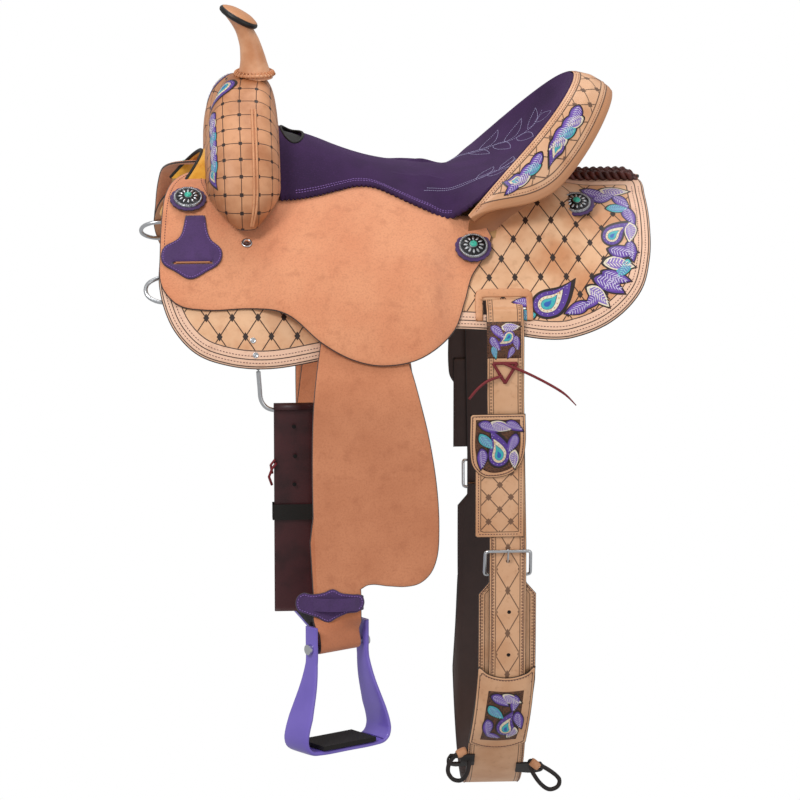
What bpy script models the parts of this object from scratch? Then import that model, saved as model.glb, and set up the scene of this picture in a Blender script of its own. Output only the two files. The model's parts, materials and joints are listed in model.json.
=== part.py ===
"""Barrel racing saddle, modelled as its separate pieces at real size, in metres with +Z up.

+X points to the cantle, -Y is the near (left) side. The origin is on the ridge of the
saddle stand, under the middle of the saddle. Leather is cut flat as an outline in
(x, s), s being the distance down the side from the ridge, and then bent onto a form.
"""

import bisect
import math

import bmesh
import bpy
from mathutils import Matrix, Vector

# Section of the saddle over the horse: an arc that starts RIDGE_ANGLE below level
BODY_RADIUS = 0.300
RIDGE_ANGLE = math.radians(12)
BODY_STATIONS = (
    0, 0.03, 0.055, 0.08, 0.105, 0.13, 0.15, 0.1675, 0.185, 0.21, 0.235, 0.26, 0.285, 0.31, 0.335,
)

# Gaps and thicknesses
FIT = 0.0003
FLEECE = 0.0100
SKIRT_LEATHER = 0.0050
JOCKEY_LEATHER = 0.0040
STRAP_LEATHER = 0.0040
FENDER_LEATHER = 0.0045
THIN_LEATHER = 0.0030
FLAP_LEATHER = 0.0025
SEAT_THICKNESS = 0.0080
SEAT_FLAP = 0.0040
GROUND_SEAT = 0.0040

# Levels above the underside of the fleece
SKIRT_LEVEL = FLEECE + FIT
SKIRT_TOP = SKIRT_LEVEL + SKIRT_LEATHER
ON_SKIRT = SKIRT_TOP + FIT

# Skirts
SKIRT_FRONT = -0.332
SKIRT_REAR = 0.331
SKIRT_DEPTH_FRONT = 0.308
SKIRT_DEPTH_REAR = 0.275
RIDGE_GAP = 0.004

# Tree bars, as heights over the skirt
BAR_INNER_HEIGHT = 0.0030
BAR_CROWN_HEIGHT = 0.0190
BAR_OUTER_HEIGHT = 0.0030
BAR_FRONT_HEIGHT = 0.0220
JOCKEY_LIFT = 0.0170

# Fork, horn and gullet
GULLET_RADIUS = 0.062
GULLET_CENTRE_Z = -0.006
GULLET_WALL = 0.0035
COVER = 0.0040
HORN_BASE_X = -0.197
HORN_BASE_Z = 0.1645
HORN_NECK_RADIUS = 0.0155
HORN_CAP_RADIUS = 0.0285
HORN_CAP_X = -0.2165
HORN_CAP_Z = 0.2420
HORN_CAP_TILT = math.radians(29)

# Cantle rim in plan, a half ellipse, and the roll outside it
RIM_CENTRE_X = 0.070
RIM_DEPTH = 0.165
RIM_HALF_WIDTH = 0.150
RIM_TIP_Z = -0.002
RIM_RISE = 0.158
ROLL_DEPTH = 0.213
ROLL_HALF_WIDTH = 0.174
ROLL_DROP = 0.016
ROLL_THICKNESS = 0.0060
SEAT_INSIDE_RIM = 0.0132

# Hand hole behind the fork
HOLE_X = -0.1330
HOLE_HALF_LENGTH = 0.0125
HOLE_HALF_WIDTH = 0.0330

# Fender, stirrup leather and stirrup. r is the distance down from the pivot
PIVOT_X = -0.068
PIVOT_S = 0.2475
HANG_X = -0.100
HANG_LEVEL = ON_SKIRT + 0.0004
FENDER_BEND_START = 0.070
FENDER_BEND_RADIUS = 0.130
FENDER_END_ANGLE = math.radians(86)
LEATHER_TOP = -0.042
LEATHER_HALF_WIDTH = 0.032
LOOP_HALF_WIDTH = 0.030
FENDER_TAIL = 0.382
HOBBLE_TOP = 0.366
HOBBLE_BOTTOM = 0.398
HOBBLE_HALF_WIDTH = 0.045
TWIST_START = 0.400
TWIST_END = 0.424
BOLT_R = 0.440
BOLT_RADIUS = 0.0040
TWIST_NEAR = math.radians(35)
TWIST_FAR = math.radians(75)
GATHER_PER_TURN = 0.36
STIRRUP_RISE = 0.030
STIRRUP_DROP = 0.138
STIRRUP_DEPTH = 0.052
STIRRUP_EAR_DEPTH = 0.022
STIRRUP_WALL = 0.0065
TREAD_THICKNESS = 0.0060
TREAD_HALF_WIDTH = 0.0440

# Flank cinch and rear billets
BILLET_X = 0.1285
BILLET_S = 0.231
BILLET_WIDTH = 0.050
BILLET_LIFT = 0.0037
BILLET_INSIDE = 0.0032
SLOT_HALF_WIDTH = 0.0285
SLOT_HEIGHT = 0.0206
CINCH_WIDTH = 0.078
CINCH_LEATHER = 0.0050
CINCH_DRIFT = 0.004
CINCH_DRIFT_BACK = -0.006
CINCH_BOTTOM_Z = -0.836
CINCH_CURVE_Z = -0.560
BILLET_OVER_CINCH = 0.0083
BUCKLE_X = BILLET_X + CINCH_DRIFT
BUCKLE_BAR_Z = -0.4845
BUCKLE_HEIGHT = 0.0360
BUCKLE_HALF_WIDTH = 0.0310
BUCKLE_WIRE = 0.0022

# Front rigging
DEE_X = -0.1545
DEE_S = 0.285
DEE_HALF_WIDTH = 0.0450
DEE_WIRE = 0.0030
DEE_DROP = 0.0790
DEE_BAR_LEVEL = DEE_WIRE + 0.0035
LATIGO_WIDTH = 0.053
LATIGO_BOTTOM_Z = -0.530
LATIGO_THICKNESS = 0.0080
BREAST_DEE_X = -0.3115
BREAST_DEE_S = 0.1975
BREAST_DEE_LEVEL = 0.0062
CONCHO_FLANGE = 0.0240

scene = bpy.context.scene


def clear_scene():
    for item in list(bpy.data.objects):
        bpy.data.objects.remove(item)
    for group in list(bpy.data.collections):
        bpy.data.collections.remove(group)


def new_collection(name):
    group = bpy.data.collections.new(name)
    scene.collection.children.link(group)
    return group


clear_scene()
SADDLE = new_collection("barrel_racing_saddle")
CUTTERS = new_collection("cutters")
CUTTERS.hide_render = True


def material(name, colour, roughness, metallic=0.0):
    made = bpy.data.materials.new(name)
    made.use_nodes = True
    shader = made.node_tree.nodes["Principled BSDF"]
    shader.inputs["Base Color"].default_value = (*colour, 1.0)
    shader.inputs["Roughness"].default_value = roughness
    shader.inputs["Metallic"].default_value = metallic
    made.diffuse_color = (*colour, 1.0)
    return made


LEATHER_COLOURS = {
    "wood": ((0.45, 0.30, 0.17), 0.8, 0.0),
    "fleece": ((0.88, 0.50, 0.06), 0.95, 0.0),
    "tooled": ((0.75, 0.43, 0.25), 0.5, 0.0),
    "roughout": ((0.72, 0.28, 0.14), 0.9, 0.0),
    "purple_suede": ((0.07, 0.025, 0.11), 0.9, 0.0),
    "purple_metal": ((0.16, 0.11, 0.48), 0.35, 0.3),
    "dark_leather": ((0.035, 0.014, 0.012), 0.6, 0.0),
    "maroon_leather": ((0.10, 0.012, 0.016), 0.55, 0.0),
    "black_rubber": ((0.010, 0.009, 0.009), 0.7, 0.0),
    "steel": ((0.55, 0.55, 0.56), 0.25, 1.0),
    "dark_silver": ((0.20, 0.19, 0.18), 0.35, 1.0),
}


def finish(obj, kind, smooth=False):
    """Gives an object its own material and its shading."""
    colour, roughness, metallic = LEATHER_COLOURS[kind]
    obj.data.materials.clear()
    obj.data.materials.append(material(obj.name + "_" + kind, colour, roughness, metallic))
    if smooth:
        obj.data.shade_smooth()
        obj.data.set_sharp_from_angle(angle=math.radians(40))
    return obj


def add_object(name, data, group=None):
    obj = bpy.data.objects.new(name, data)
    (group or SADDLE).objects.link(obj)
    return obj


def mesh_from(bm, name):
    """Makes a mesh of a bmesh, with its faces pointing out."""
    bmesh.ops.recalc_face_normals(bm, faces=bm.faces[:])
    if bm.calc_volume(signed=True) < 0:
        bmesh.ops.reverse_faces(bm, faces=bm.faces[:])
    mesh = bpy.data.meshes.new(name)
    bm.to_mesh(mesh)
    bm.free()
    return mesh


def baked(obj):
    """The object with its modifiers applied, as a plain mesh object in the same collection."""
    bpy.context.view_layer.update()
    evaluated = obj.evaluated_get(bpy.context.evaluated_depsgraph_get())
    bm = bmesh.new()
    bm.from_mesh(bpy.data.meshes.new_from_object(evaluated))
    bm.transform(obj.matrix_world)
    bmesh.ops.remove_doubles(bm, verts=bm.verts[:], dist=1e-6)
    name, group = obj.name, obj.users_collection[0]
    bpy.data.objects.remove(obj)
    return add_object(name, mesh_from(bm, name), group)


def cut(obj, cutter, operation="DIFFERENCE"):
    """A Boolean on the object, applied, with the second object kept as a hidden cutter."""
    for group in list(cutter.users_collection):
        group.objects.unlink(cutter)
    CUTTERS.objects.link(cutter)
    cutter.hide_render = True
    cutter.display_type = "WIRE"
    step = obj.modifiers.new(operation.lower(), "BOOLEAN")
    step.operation = operation
    step.object = cutter
    step.solver = "EXACT"
    return baked(obj)


def mirrored(obj, name):
    """A copy of a left piece on the right side, as its own object and mesh."""
    bm = bmesh.new()
    bm.from_mesh(obj.data)
    bm.transform(Matrix.Scale(-1, 4, Vector((0, 1, 0))) @ obj.matrix_world)
    return add_object(name, mesh_from(bm, name))


def interpolate(value, places, heights):
    """Straight lines between the given places, level beyond the ends."""
    if value <= places[0]:
        return heights[0]
    for start, end, low, high in zip(places, places[1:], heights, heights[1:]):
        if value <= end:
            return low + (high - low) * (value - start) / (end - start)
    return heights[-1]


class Form:
    """A bent path in (outward, up) that leather lies on.

    The path is a chain of chords. A layer at any level keeps its facets parallel to
    the chords, so layers that lie on each other keep the same gap everywhere.
    """

    def __init__(self, points, start=0.0):
        self.points = [Vector(point) for point in points]
        self.stations = [start]
        for first, second in zip(self.points, self.points[1:]):
            self.stations.append(self.stations[-1] + (second - first).length)
        sides = []
        for first, second in zip(self.points, self.points[1:]):
            along = (second - first).normalized()
            sides.append(Vector((-along.y, along.x)))
        self.mitres = [sides[0]]
        for before, after in zip(sides, sides[1:]):
            middle = (before + after).normalized()
            self.mitres.append(middle / middle.dot(after))
        self.mitres.append(sides[-1])

    def at(self, distance, level=0.0):
        """The (outward, up) point at this distance along the path and level above it."""
        index = bisect.bisect_right(self.stations, distance) - 1
        index = min(max(index, 0), len(self.stations) - 2)
        start, end = self.stations[index], self.stations[index + 1]
        share = (distance - start) / (end - start)
        low = self.points[index] + self.mitres[index] * level
        high = self.points[index + 1] + self.mitres[index + 1] * level
        return low.lerp(high, share)

    def angle(self, distance):
        """The slope of the path there, in radians below level."""
        index = bisect.bisect_right(self.stations, distance) - 1
        index = min(max(index, 0), len(self.stations) - 2)
        along = self.points[index + 1] - self.points[index]
        return math.atan2(-along.y, along.x)


def body_point(s):
    angle = RIDGE_ANGLE + s / BODY_RADIUS
    outward = BODY_RADIUS * (math.sin(angle) - math.sin(RIDGE_ANGLE))
    return outward, BODY_RADIUS * (math.cos(angle) - math.cos(RIDGE_ANGLE))


class BodyForm(Form):
    """The side of the saddle, with stations given as arc lengths."""

    def __init__(self):
        super().__init__([body_point(s) for s in BODY_STATIONS])
        self.stations = list(BODY_STATIONS)


BODY = BodyForm()


def flat_leather(outline, thickness, holes=(), resolution=4):
    """A flat closed outline, smooth except at points marked corner, as a solid bmesh.

    Each point is (x, s) or (x, s, "corner"). The sheet lies between z = 0 and its thickness.
    """
    curve = bpy.data.curves.new("outline", "CURVE")
    curve.dimensions = "2D"
    curve.fill_mode = "BOTH"
    curve.extrude = thickness / 2
    curve.resolution_u = resolution
    for loop in (outline, *holes):
        spline = curve.splines.new("BEZIER")
        spline.bezier_points.add(len(loop) - 1)
        for point, place in zip(spline.bezier_points, loop):
            point.co = (place[0], place[1], 0)
            handle = "VECTOR" if len(place) > 2 else "AUTO"
            point.handle_left_type = point.handle_right_type = handle
        spline.use_cyclic_u = True
    sheet = add_object("outline", curve)
    sheet.location.z = thickness / 2
    bpy.context.view_layer.update()
    evaluated = sheet.evaluated_get(bpy.context.evaluated_depsgraph_get())
    bm = bmesh.new()
    bm.from_mesh(bpy.data.meshes.new_from_object(evaluated))
    bm.transform(sheet.matrix_world)
    bpy.data.objects.remove(sheet)
    bmesh.ops.remove_doubles(bm, verts=bm.verts[:], dist=1e-6)
    bmesh.ops.dissolve_limit(bm, angle_limit=0.002, verts=bm.verts[:], edges=bm.edges[:])
    return bm


def slice_at(bm, axis, places):
    """Adds edges across the mesh at each place on the axis."""
    normal = Vector((axis == "x", axis == "s", 0))
    for place in places:
        geometry = bm.verts[:] + bm.edges[:] + bm.faces[:]
        bmesh.ops.bisect_plane(bm, geom=geometry, dist=1e-6, plane_co=normal * place, plane_no=normal)


def bend(bm, form, level, side=-1, shift=None):
    """Moves a flat sheet onto a form. level is a number or a function of (x, s)."""
    for vert in bm.verts:
        x, s, height = vert.co
        base = level(x, s) if callable(level) else level
        outward, up = form.at(s, base + height)
        vert.co = (x + (shift(s) if shift else 0.0), side * outward, up)
    bmesh.ops.triangulate(bm, faces=bm.faces[:], quad_method="SHORT_EDGE")


def leather(name, outline, thickness, level, kind, form=BODY, holes=(), cross=(), resolution=4, shift=None):
    """A sheet of leather: cut flat, creased at the form's stations, and bent onto it."""
    bm = flat_leather(outline, thickness, holes, resolution)
    low = min(vert.co.y for vert in bm.verts)
    high = max(vert.co.y for vert in bm.verts)
    slice_at(bm, "s", [place for place in form.stations if low + 1e-5 < place < high - 1e-5])
    slice_at(bm, "x", cross)
    bend(bm, form, level, shift=shift)
    obj = add_object(name, mesh_from(bm, name))
    return finish(obj, kind)


def skin(bm, a, b, c, d, from_a=None):
    """A four-sided face as two triangles, split from a to c or from b to d.

    Unless from_a says which, the shorter diagonal is taken.
    """
    if from_a is None:
        from_a = (a.co - c.co).length < (b.co - d.co).length
    if from_a:
        bm.faces.new((a, b, c))
        bm.faces.new((a, c, d))
    else:
        bm.faces.new((a, b, d))
        bm.faces.new((b, c, d))


def loft(name, rings, kind, smooth=True, from_a=lambda row, index: None):
    """A skin over closed rings of points, each with the same number of points."""
    bm = bmesh.new()
    rows = [[bm.verts.new(point) for point in ring] for ring in rings]
    count = len(rows[0])
    for row, (first, second) in enumerate(zip(rows, rows[1:])):
        for index in range(count):
            after = (index + 1) % count
            skin(bm, first[index], first[after], second[after], second[index], from_a(row, index))
    bm.faces.new(rows[0])
    bm.faces.new(rows[-1])
    obj = add_object(name, mesh_from(bm, name))
    return finish(obj, kind, smooth)


def shell(name, grid, thickness, kind):
    """An open surface of rows of points, thickened on its inner side with Solidify."""
    bm = bmesh.new()
    rows = [[bm.verts.new(point) for point in row] for row in grid]
    for first, second in zip(rows, rows[1:]):
        for index in range(len(first) - 1):
            bm.faces.new((first[index], second[index], second[index + 1], first[index + 1]))
    mesh = bpy.data.meshes.new(name)
    bm.to_mesh(mesh)
    bm.free()
    obj = add_object(name, mesh)
    step = obj.modifiers.new("thickness", "SOLIDIFY")
    step.thickness = thickness
    step.offset = -1
    step.use_even_offset = True
    return finish(baked(obj), kind, smooth=True)


def turned(name, profile, kind, steps=24, smooth=True):
    """A profile of (radius, height) from the outer top to the bottom, turned round Z."""
    curve_mesh = bpy.data.meshes.new(name)
    points = [(radius, 0, height) for radius, height in profile]
    curve_mesh.from_pydata(points, [(i, i + 1) for i in range(len(points) - 1)], [])
    obj = add_object(name, curve_mesh)
    step = obj.modifiers.new("turn", "SCREW")
    step.steps = step.render_steps = steps
    step.use_merge_vertices = True
    step.merge_threshold = 0.00005
    return finish(baked(obj), kind, smooth)


def placed(obj, matrix):
    """Moves a mesh to its place, leaving the object at the origin."""
    obj.data.transform(matrix)
    return obj


def wire(name, points, radius, kind, cyclic=False, resolution=2):
    """A round bar along straight runs between the given points."""
    curve = bpy.data.curves.new(name, "CURVE")
    curve.dimensions = "3D"
    curve.bevel_depth = radius
    curve.bevel_resolution = resolution
    curve.use_fill_caps = not cyclic
    spline = curve.splines.new("POLY")
    spline.points.add(len(points) - 1)
    for place, point in zip(spline.points, points):
        place.co = (*point, 1)
    spline.use_cyclic_u = cyclic
    return finish(baked(add_object(name, curve)), kind, smooth=True)


def both_sides(left, kind):
    """Makes the right-hand piece as a mirrored copy of the left one."""
    right = mirrored(left, left.name.replace("_left", "_right"))
    return finish(right, kind, smooth=left.data.polygons[0].use_smooth)


def circle(count, radius=1.0, start=0.0):
    angles = [start + 2 * math.pi * index / count for index in range(count)]
    return [(radius * math.cos(angle), radius * math.sin(angle)) for angle in angles]


def cylinder(name, radius, height, steps=24):
    bm = bmesh.new()
    bmesh.ops.create_cone(bm, cap_ends=True, segments=steps, radius1=radius, radius2=radius, depth=height)
    return add_object(name, mesh_from(bm, name))


def box(name, low, high):
    bm = bmesh.new()
    size = Vector(high) - Vector(low)
    middle = (Vector(high) + Vector(low)) / 2
    bmesh.ops.create_cube(bm, size=1, matrix=Matrix.Translation(middle) @ Matrix.Diagonal((*size, 1)))
    return add_object(name, mesh_from(bm, name))


def extruded(name, outline, depth, kind, holes=(), smooth=False):
    """A plate of straight-edged outlines in XY, its middle at z = 0."""
    curve = bpy.data.curves.new(name, "CURVE")
    curve.dimensions = "2D"
    curve.fill_mode = "BOTH"
    curve.extrude = depth / 2
    for loop in (outline, *holes):
        spline = curve.splines.new("POLY")
        spline.points.add(len(loop) - 1)
        for point, place in zip(spline.points, loop):
            point.co = (place[0], place[1], 0, 1)
        spline.use_cyclic_u = True
    return finish(baked(add_object(name, curve)), kind, smooth)


def axes_matrix(origin, x_axis, y_axis, z_axis):
    turn = Matrix((x_axis, y_axis, z_axis)).transposed().to_4x4()
    return Matrix.Translation(origin) @ turn


# Tree


def bar_height(x, s):
    """Height of the bar's top over the skirt: thin at both long edges, thick between."""
    heights = (BAR_INNER_HEIGHT, BAR_CROWN_HEIGHT, BAR_OUTER_HEIGHT, 0)
    middle = interpolate(s, (0.03, 0.08, 0.15, 0.1675), heights)
    front = interpolate(s, (0.08, 0.15, 0.1675), (BAR_FRONT_HEIGHT, BAR_OUTER_HEIGHT, 0))
    return middle + (front - middle) * interpolate(x, (-0.20, -0.16), (1, 0))


def bar_top(x, s):
    return ON_SKIRT + bar_height(x, s)


def jockey_level(x, s):
    """Underside of the jockey: on the bar, down onto the skirt, and lifted over the fender."""
    rest = bar_top(x, s) + FIT
    lifted = ON_SKIRT + interpolate(s, (0.08, 0.15, 0.185), (BAR_CROWN_HEIGHT, 0.0150, JOCKEY_LIFT)) + FIT
    return rest + (max(lifted, rest) - rest) * interpolate(x, (-0.205, -0.170, 0.030, 0.062), (0, 1, 1, 0))


def over_jockey(x, s):
    return jockey_level(x, s) + JOCKEY_LEATHER + FIT


X_CREASES = (-0.205, -0.20, -0.170, -0.16, 0.030, 0.062)


def on_body(name, outline, low_level, high_level, cross):
    """A solid over an outline on the near side, between two levels that vary over it."""
    bm = flat_leather(outline, 1.0)
    low = min(vert.co.y for vert in bm.verts)
    high = max(vert.co.y for vert in bm.verts)
    slice_at(bm, "s", [place for place in BODY.stations if low + 1e-5 < place < high - 1e-5])
    slice_at(bm, "x", cross)
    for vert in bm.verts:
        x, s, height = vert.co
        level = high_level(x, s) if height > 0.5 else low_level(x, s)
        outward, up = BODY.at(s, level)
        vert.co = (x, -outward, up)
    bmesh.ops.triangulate(bm, faces=bm.faces[:], quad_method="SHORT_EDGE")
    return add_object(name, mesh_from(bm, name))


def beds(name, level, gap):
    """Two blocks, one on each side, that fill the saddle up to a gap over a level."""
    corners = [(-0.34, 0.0, "corner"), (0.31, 0.0, "corner"), (0.31, 0.25, "corner"), (-0.34, 0.25, "corner")]
    near = on_body(name + "_near", corners, lambda x, s: -0.09, lambda x, s: level(x, s) + gap, X_CREASES)
    return near, mirrored(near, name + "_far")


def make_bars():
    outline = [
        (-0.306, 0.085), (-0.285, 0.067), (-0.205, 0.064), (-0.150, 0.045), (-0.060, 0.034),
        (0.080, 0.034), (0.170, 0.036), (0.202, 0.052), (0.203, 0.100), (0.170, 0.136),
        (0.060, 0.118), (-0.060, 0.112), (-0.150, 0.142), (-0.240, 0.147), (-0.295, 0.125),
    ]
    left = on_body("tree_bar_left", outline, lambda x, s: ON_SKIRT, bar_top, X_CREASES)
    both_sides(finish(left, "wood"), "wood")


FORK_DEGREES = (8, 22, 36, 50, 64, 78, 90, 97)
FORK_ANGLES = [math.radians(a) for a in [-b for b in FORK_DEGREES[::-1]] + list(FORK_DEGREES)]
FORK_INNER = (GULLET_RADIUS + 2 * FIT) / math.cos(math.radians(8))


def fork_ring(angle, inset):
    """The section of the swell at an angle from upright: a D standing on the gullet.

    The D runs from front to rear along X and bulges away from the gullet.
    """
    degrees = abs(math.degrees(angle))
    turns = (0, 14, 28, 42, 56, 70, 82, 90, 97)
    radii = (0.168, 0.164, 0.156, 0.153, 0.157, 0.161, 0.163, 0.160, 0.151)
    outer = interpolate(degrees, turns, radii) - inset
    turns = (0, 14, 30, 78, 90, 97)
    front = interpolate(degrees, turns, (-0.246, -0.262, -0.266, -0.264, -0.256, -0.242)) + inset
    rear = interpolate(degrees, turns, (-0.168, -0.165, -0.165, -0.165, -0.171, -0.182)) - inset
    middle = (front + rear) / 2
    half = (rear - front) / 2
    ring = []
    for step in range(13):
        turn = math.pi * step / 12
        across = -math.copysign(abs(math.cos(turn)) ** 0.55, math.cos(turn))
        rise = math.sin(turn) ** 0.55
        ring.append((middle + half * across, FORK_INNER + (outer - FORK_INNER) * rise))
    return ring


def fork_points(angle, ring):
    return [(x, radius * math.sin(angle), GULLET_CENTRE_Z + radius * math.cos(angle)) for x, radius in ring]


def make_fork():
    wood = [fork_points(angle, fork_ring(angle, COVER + 2 * FIT)) for angle in FORK_ANGLES]
    fork = loft("fork", wood, "wood")
    for cutter in beds("fork_bed", bar_top, 2 * FIT):
        fork = cut(fork, cutter)
    finish(fork, "wood", smooth=True)

    # The leather over it is the same form, open on the gullet side
    rings = []
    for angle in FORK_ANGLES:
        outside = fork_points(angle, fork_ring(angle, 0))
        inside = fork_points(angle, fork_ring(angle, COVER))
        rings.append(outside + inside[::-1])
    cover = loft("swell_cover", rings, "tooled")
    for cutter in beds("cover_bed", bar_top, JOCKEY_LEATHER + 3 * FIT):
        cover = cut(cover, cutter)
    finish(cover, "tooled", smooth=True)


def make_horn():
    """The neck leans forward and flares under a cap that is tipped back towards the rider."""
    base = Vector((HORN_BASE_X, 0, HORN_BASE_Z))
    tilt = Matrix.Rotation(HORN_CAP_TILT, 4, "Y")
    top = Vector((HORN_CAP_X, 0, HORN_CAP_Z)) + tilt @ Vector((0, 0, -0.0076))
    sections = ((0, 0.0202), (0.12, 0.0182), (0.35, 0.0160), (0.6, HORN_NECK_RADIUS), (0.82, 0.0165), (1, 0.0190))
    rings = []
    for share, radius in sections:
        centre = base.lerp(top, share)
        turn = Matrix.Rotation(HORN_CAP_TILT * share, 4, "Y")
        rings.append([centre + turn @ Vector((x, y, 0)) for x, y in circle(20, radius)])
    loft("horn_neck", rings, "tooled")
    radius = HORN_CAP_RADIUS
    profile = [
        (0, 0.0060), (radius * 0.45, 0.0052), (radius * 0.8, 0.0028), (radius * 0.96, 0.0),
        (radius, -0.0025), (radius * 0.95, -0.0055), (radius * 0.7, -0.0070), (0, -0.0072),
    ]
    cap = turned("horn_cap", profile, "tooled", steps=28)
    placed(cap, Matrix.Translation((HORN_CAP_X, 0, HORN_CAP_Z)) @ tilt)


def make_gullet():
    """An arched lining under the fork, with its front edge cut back towards the top."""
    grid = []
    for step in range(-7, 8):
        angle = math.radians(76) * step / 7
        front = -0.266 - 0.046 * (1 - math.cos(angle))
        row = []
        for share in (0, 0.33, 0.66, 1):
            x = front + (-0.190 - front) * share
            z = GULLET_CENTRE_Z + GULLET_RADIUS * math.cos(angle)
            row.append((x, GULLET_RADIUS * math.sin(angle), z))
        grid.append(row)
    lining = shell("gullet_lining", [row[::-1] for row in grid], GULLET_WALL, "fleece")
    for cutter in beds("gullet_bed", bar_top, FIT):
        lining = cut(lining, cutter)
    finish(lining, "fleece", smooth=True)


# Skirts and linings


def slot_outline(centre_x, centre_s, half_x, half_s):
    return [
        (centre_x - half_x, centre_s - half_s, "corner"), (centre_x - half_x, centre_s + half_s, "corner"),
        (centre_x + half_x, centre_s + half_s, "corner"), (centre_x + half_x, centre_s - half_s, "corner"),
    ]


def make_skirts():
    outline = [
        (0.318, RIDGE_GAP, "corner"), (0.329, 0.050), (SKIRT_REAR, 0.110), (0.327, 0.165), (0.313, 0.211),
        (0.274, 0.251), (0.219, 0.273), (0.190, SKIRT_DEPTH_REAR), (0.101, 0.262), (0.020, 0.262), (-0.060, 0.284),
        (-0.124, 0.299), (-0.192, SKIRT_DEPTH_FRONT), (-0.242, 0.303), (-0.283, 0.288), (-0.312, 0.258),
        (-0.327, 0.222), (SKIRT_FRONT, 0.185), (-0.326, 0.140), (-0.312, 0.095), (-0.298, 0.066, "corner"),
        (-0.200, 0.060, "corner"), (-0.150, 0.022, "corner"), (0.120, 0.014, "corner"), (0.200, RIDGE_GAP, "corner"),
    ]
    slot = slot_outline(BILLET_X, BILLET_S, SLOT_HALF_WIDTH, SLOT_HEIGHT / 2)
    both_sides(leather("skirt_left", outline, SKIRT_LEATHER, SKIRT_LEVEL, "tooled", holes=[slot]), "tooled")

    notch_front = DEE_X - DEE_HALF_WIDTH - 0.010
    notch_rear = DEE_X + DEE_HALF_WIDTH + 0.010
    notch_s = DEE_S - 0.010
    lining = [
        (0.314, RIDGE_GAP, "corner"), (0.325, 0.050), (0.327, 0.110), (0.323, 0.163), (0.309, 0.208),
        (0.271, 0.247), (0.219, 0.269), (0.190, 0.271), (0.101, 0.258), (0.020, 0.258), (-0.060, 0.280, "corner"),
        (notch_rear, 0.284, "corner"), (notch_rear, notch_s, "corner"), (notch_front, notch_s, "corner"),
        (notch_front, 0.303, "corner"), (-0.242, 0.299), (-0.281, 0.284), (-0.309, 0.255, "corner"),
        (-0.316, 0.226, "corner"), (-0.300, 0.226, "corner"), (-0.300, 0.169, "corner"), (-0.325, 0.169, "corner"),
        (-0.322, 0.138), (-0.308, 0.095), (-0.294, 0.068, "corner"),
        (-0.200, 0.062, "corner"), (-0.150, 0.024, "corner"), (0.120, 0.014, "corner"), (0.200, RIDGE_GAP, "corner"),
    ]
    hole = slot_outline(BILLET_X, BILLET_S, SLOT_HALF_WIDTH + 0.004, SLOT_HEIGHT / 2 + 0.006)
    both_sides(leather("lining_left", lining, FLEECE, 0.0, "fleece", holes=[hole]), "fleece")


def make_lacing():
    """The plaited strap over the ridge, where the skirts meet behind the cantle."""
    row = []
    for side, places in ((1, (0.020, 0.012, 0.006)), (-1, (0.006, 0.012, 0.020))):
        for s in places:
            outward, up = BODY.at(s, ON_SKIRT + THIN_LEATHER)
            row.append((side * outward, up))
    grid = [[(x, y, z) for y, z in row] for x in (0.252, 0.272, 0.292, 0.312)]
    shell("skirt_lacing", grid, THIN_LEATHER, "dark_leather")


# Jockeys


def make_jockeys():
    outline = [
        (-0.290, 0.052), (-0.312, 0.078), (-0.323, 0.115), (-0.329, 0.155), (-0.3305, 0.190),
        (-0.325, 0.206), (-0.306, 0.225), (-0.270, 0.232), (-0.201, 0.232), (-0.161, 0.245),
        (-0.117, 0.280), (-0.075, 0.301), (-0.035, 0.308), (0.018, 0.298), (0.060, 0.264), (0.076, 0.225),
        (0.087, 0.190), (0.104, 0.163), (0.116, 0.135, "corner"), (0.095, 0.092), (0.060, 0.088),
        (0.000, 0.065), (-0.030, 0.047), (-0.060, 0.038), (-0.110, 0.052), (-0.160, 0.062, "corner"),
        (-0.160, 0.127, "corner"), (-0.270, 0.127, "corner"), (-0.270, 0.050, "corner"),
    ]
    jockey = leather("jockey_left", outline, JOCKEY_LEATHER, jockey_level, "roughout", cross=X_CREASES)
    both_sides(jockey, "roughout")


# Seat and cantle


def rim(beta, outward=0.0, up=0.0):
    """A point of the cantle rim. beta is 0 at the top and near a quarter turn at the near tip."""
    x = RIM_CENTRE_X + (RIM_DEPTH + outward) * math.cos(beta)
    y = -(RIM_HALF_WIDTH + outward) * math.sin(beta)
    return Vector((x, y, RIM_TIP_Z + RIM_RISE * abs(math.cos(beta)) ** 1.1 + up))


def roll_edge(beta):
    """A point of the outer, lower edge of the roll."""
    x = RIM_CENTRE_X + 0.005 + ROLL_DEPTH * math.cos(beta)
    y = -ROLL_HALF_WIDTH * math.sin(beta)
    return Vector((x, y, RIM_TIP_Z - ROLL_DROP + 0.150 * abs(math.cos(beta)) ** 2.3))


def roll_point(beta, share, height):
    """A point across the roll, share 0 at the rim and 1 at its outer edge, height above that line."""
    inner, outer = rim(beta), roll_edge(beta)
    chord = (outer - inner).normalized()
    along = Vector((-math.sin(beta), -math.cos(beta), 0))
    side = chord.cross(along).normalized()
    if side.z < 0:
        side = -side
    return inner.lerp(outer, share) + side * height


def seat_edge(x):
    """Where the seat's lower edge lies on the jockey at this x, with its scallops."""
    return interpolate(
        x,
        (-0.156, -0.138, -0.113, -0.087, -0.060, -0.042, -0.026, 0.000, 0.025, 0.060, 0.083),
        (0.083, 0.080, 0.074, 0.065, 0.057, 0.058, 0.067, 0.084, 0.099, 0.110, 0.114),
    )


def height_over(x, outward, level):
    """Z on the near side of a surface given as a level function, at an x and outward distance."""
    low, high = 0.0, 0.2
    for _ in range(30):
        middle = (low + high) / 2
        if BODY.at(middle, level(x, middle))[0] < outward:
            low = middle
        else:
            high = middle
    return BODY.at(low, level(x, low))[1]


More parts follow.
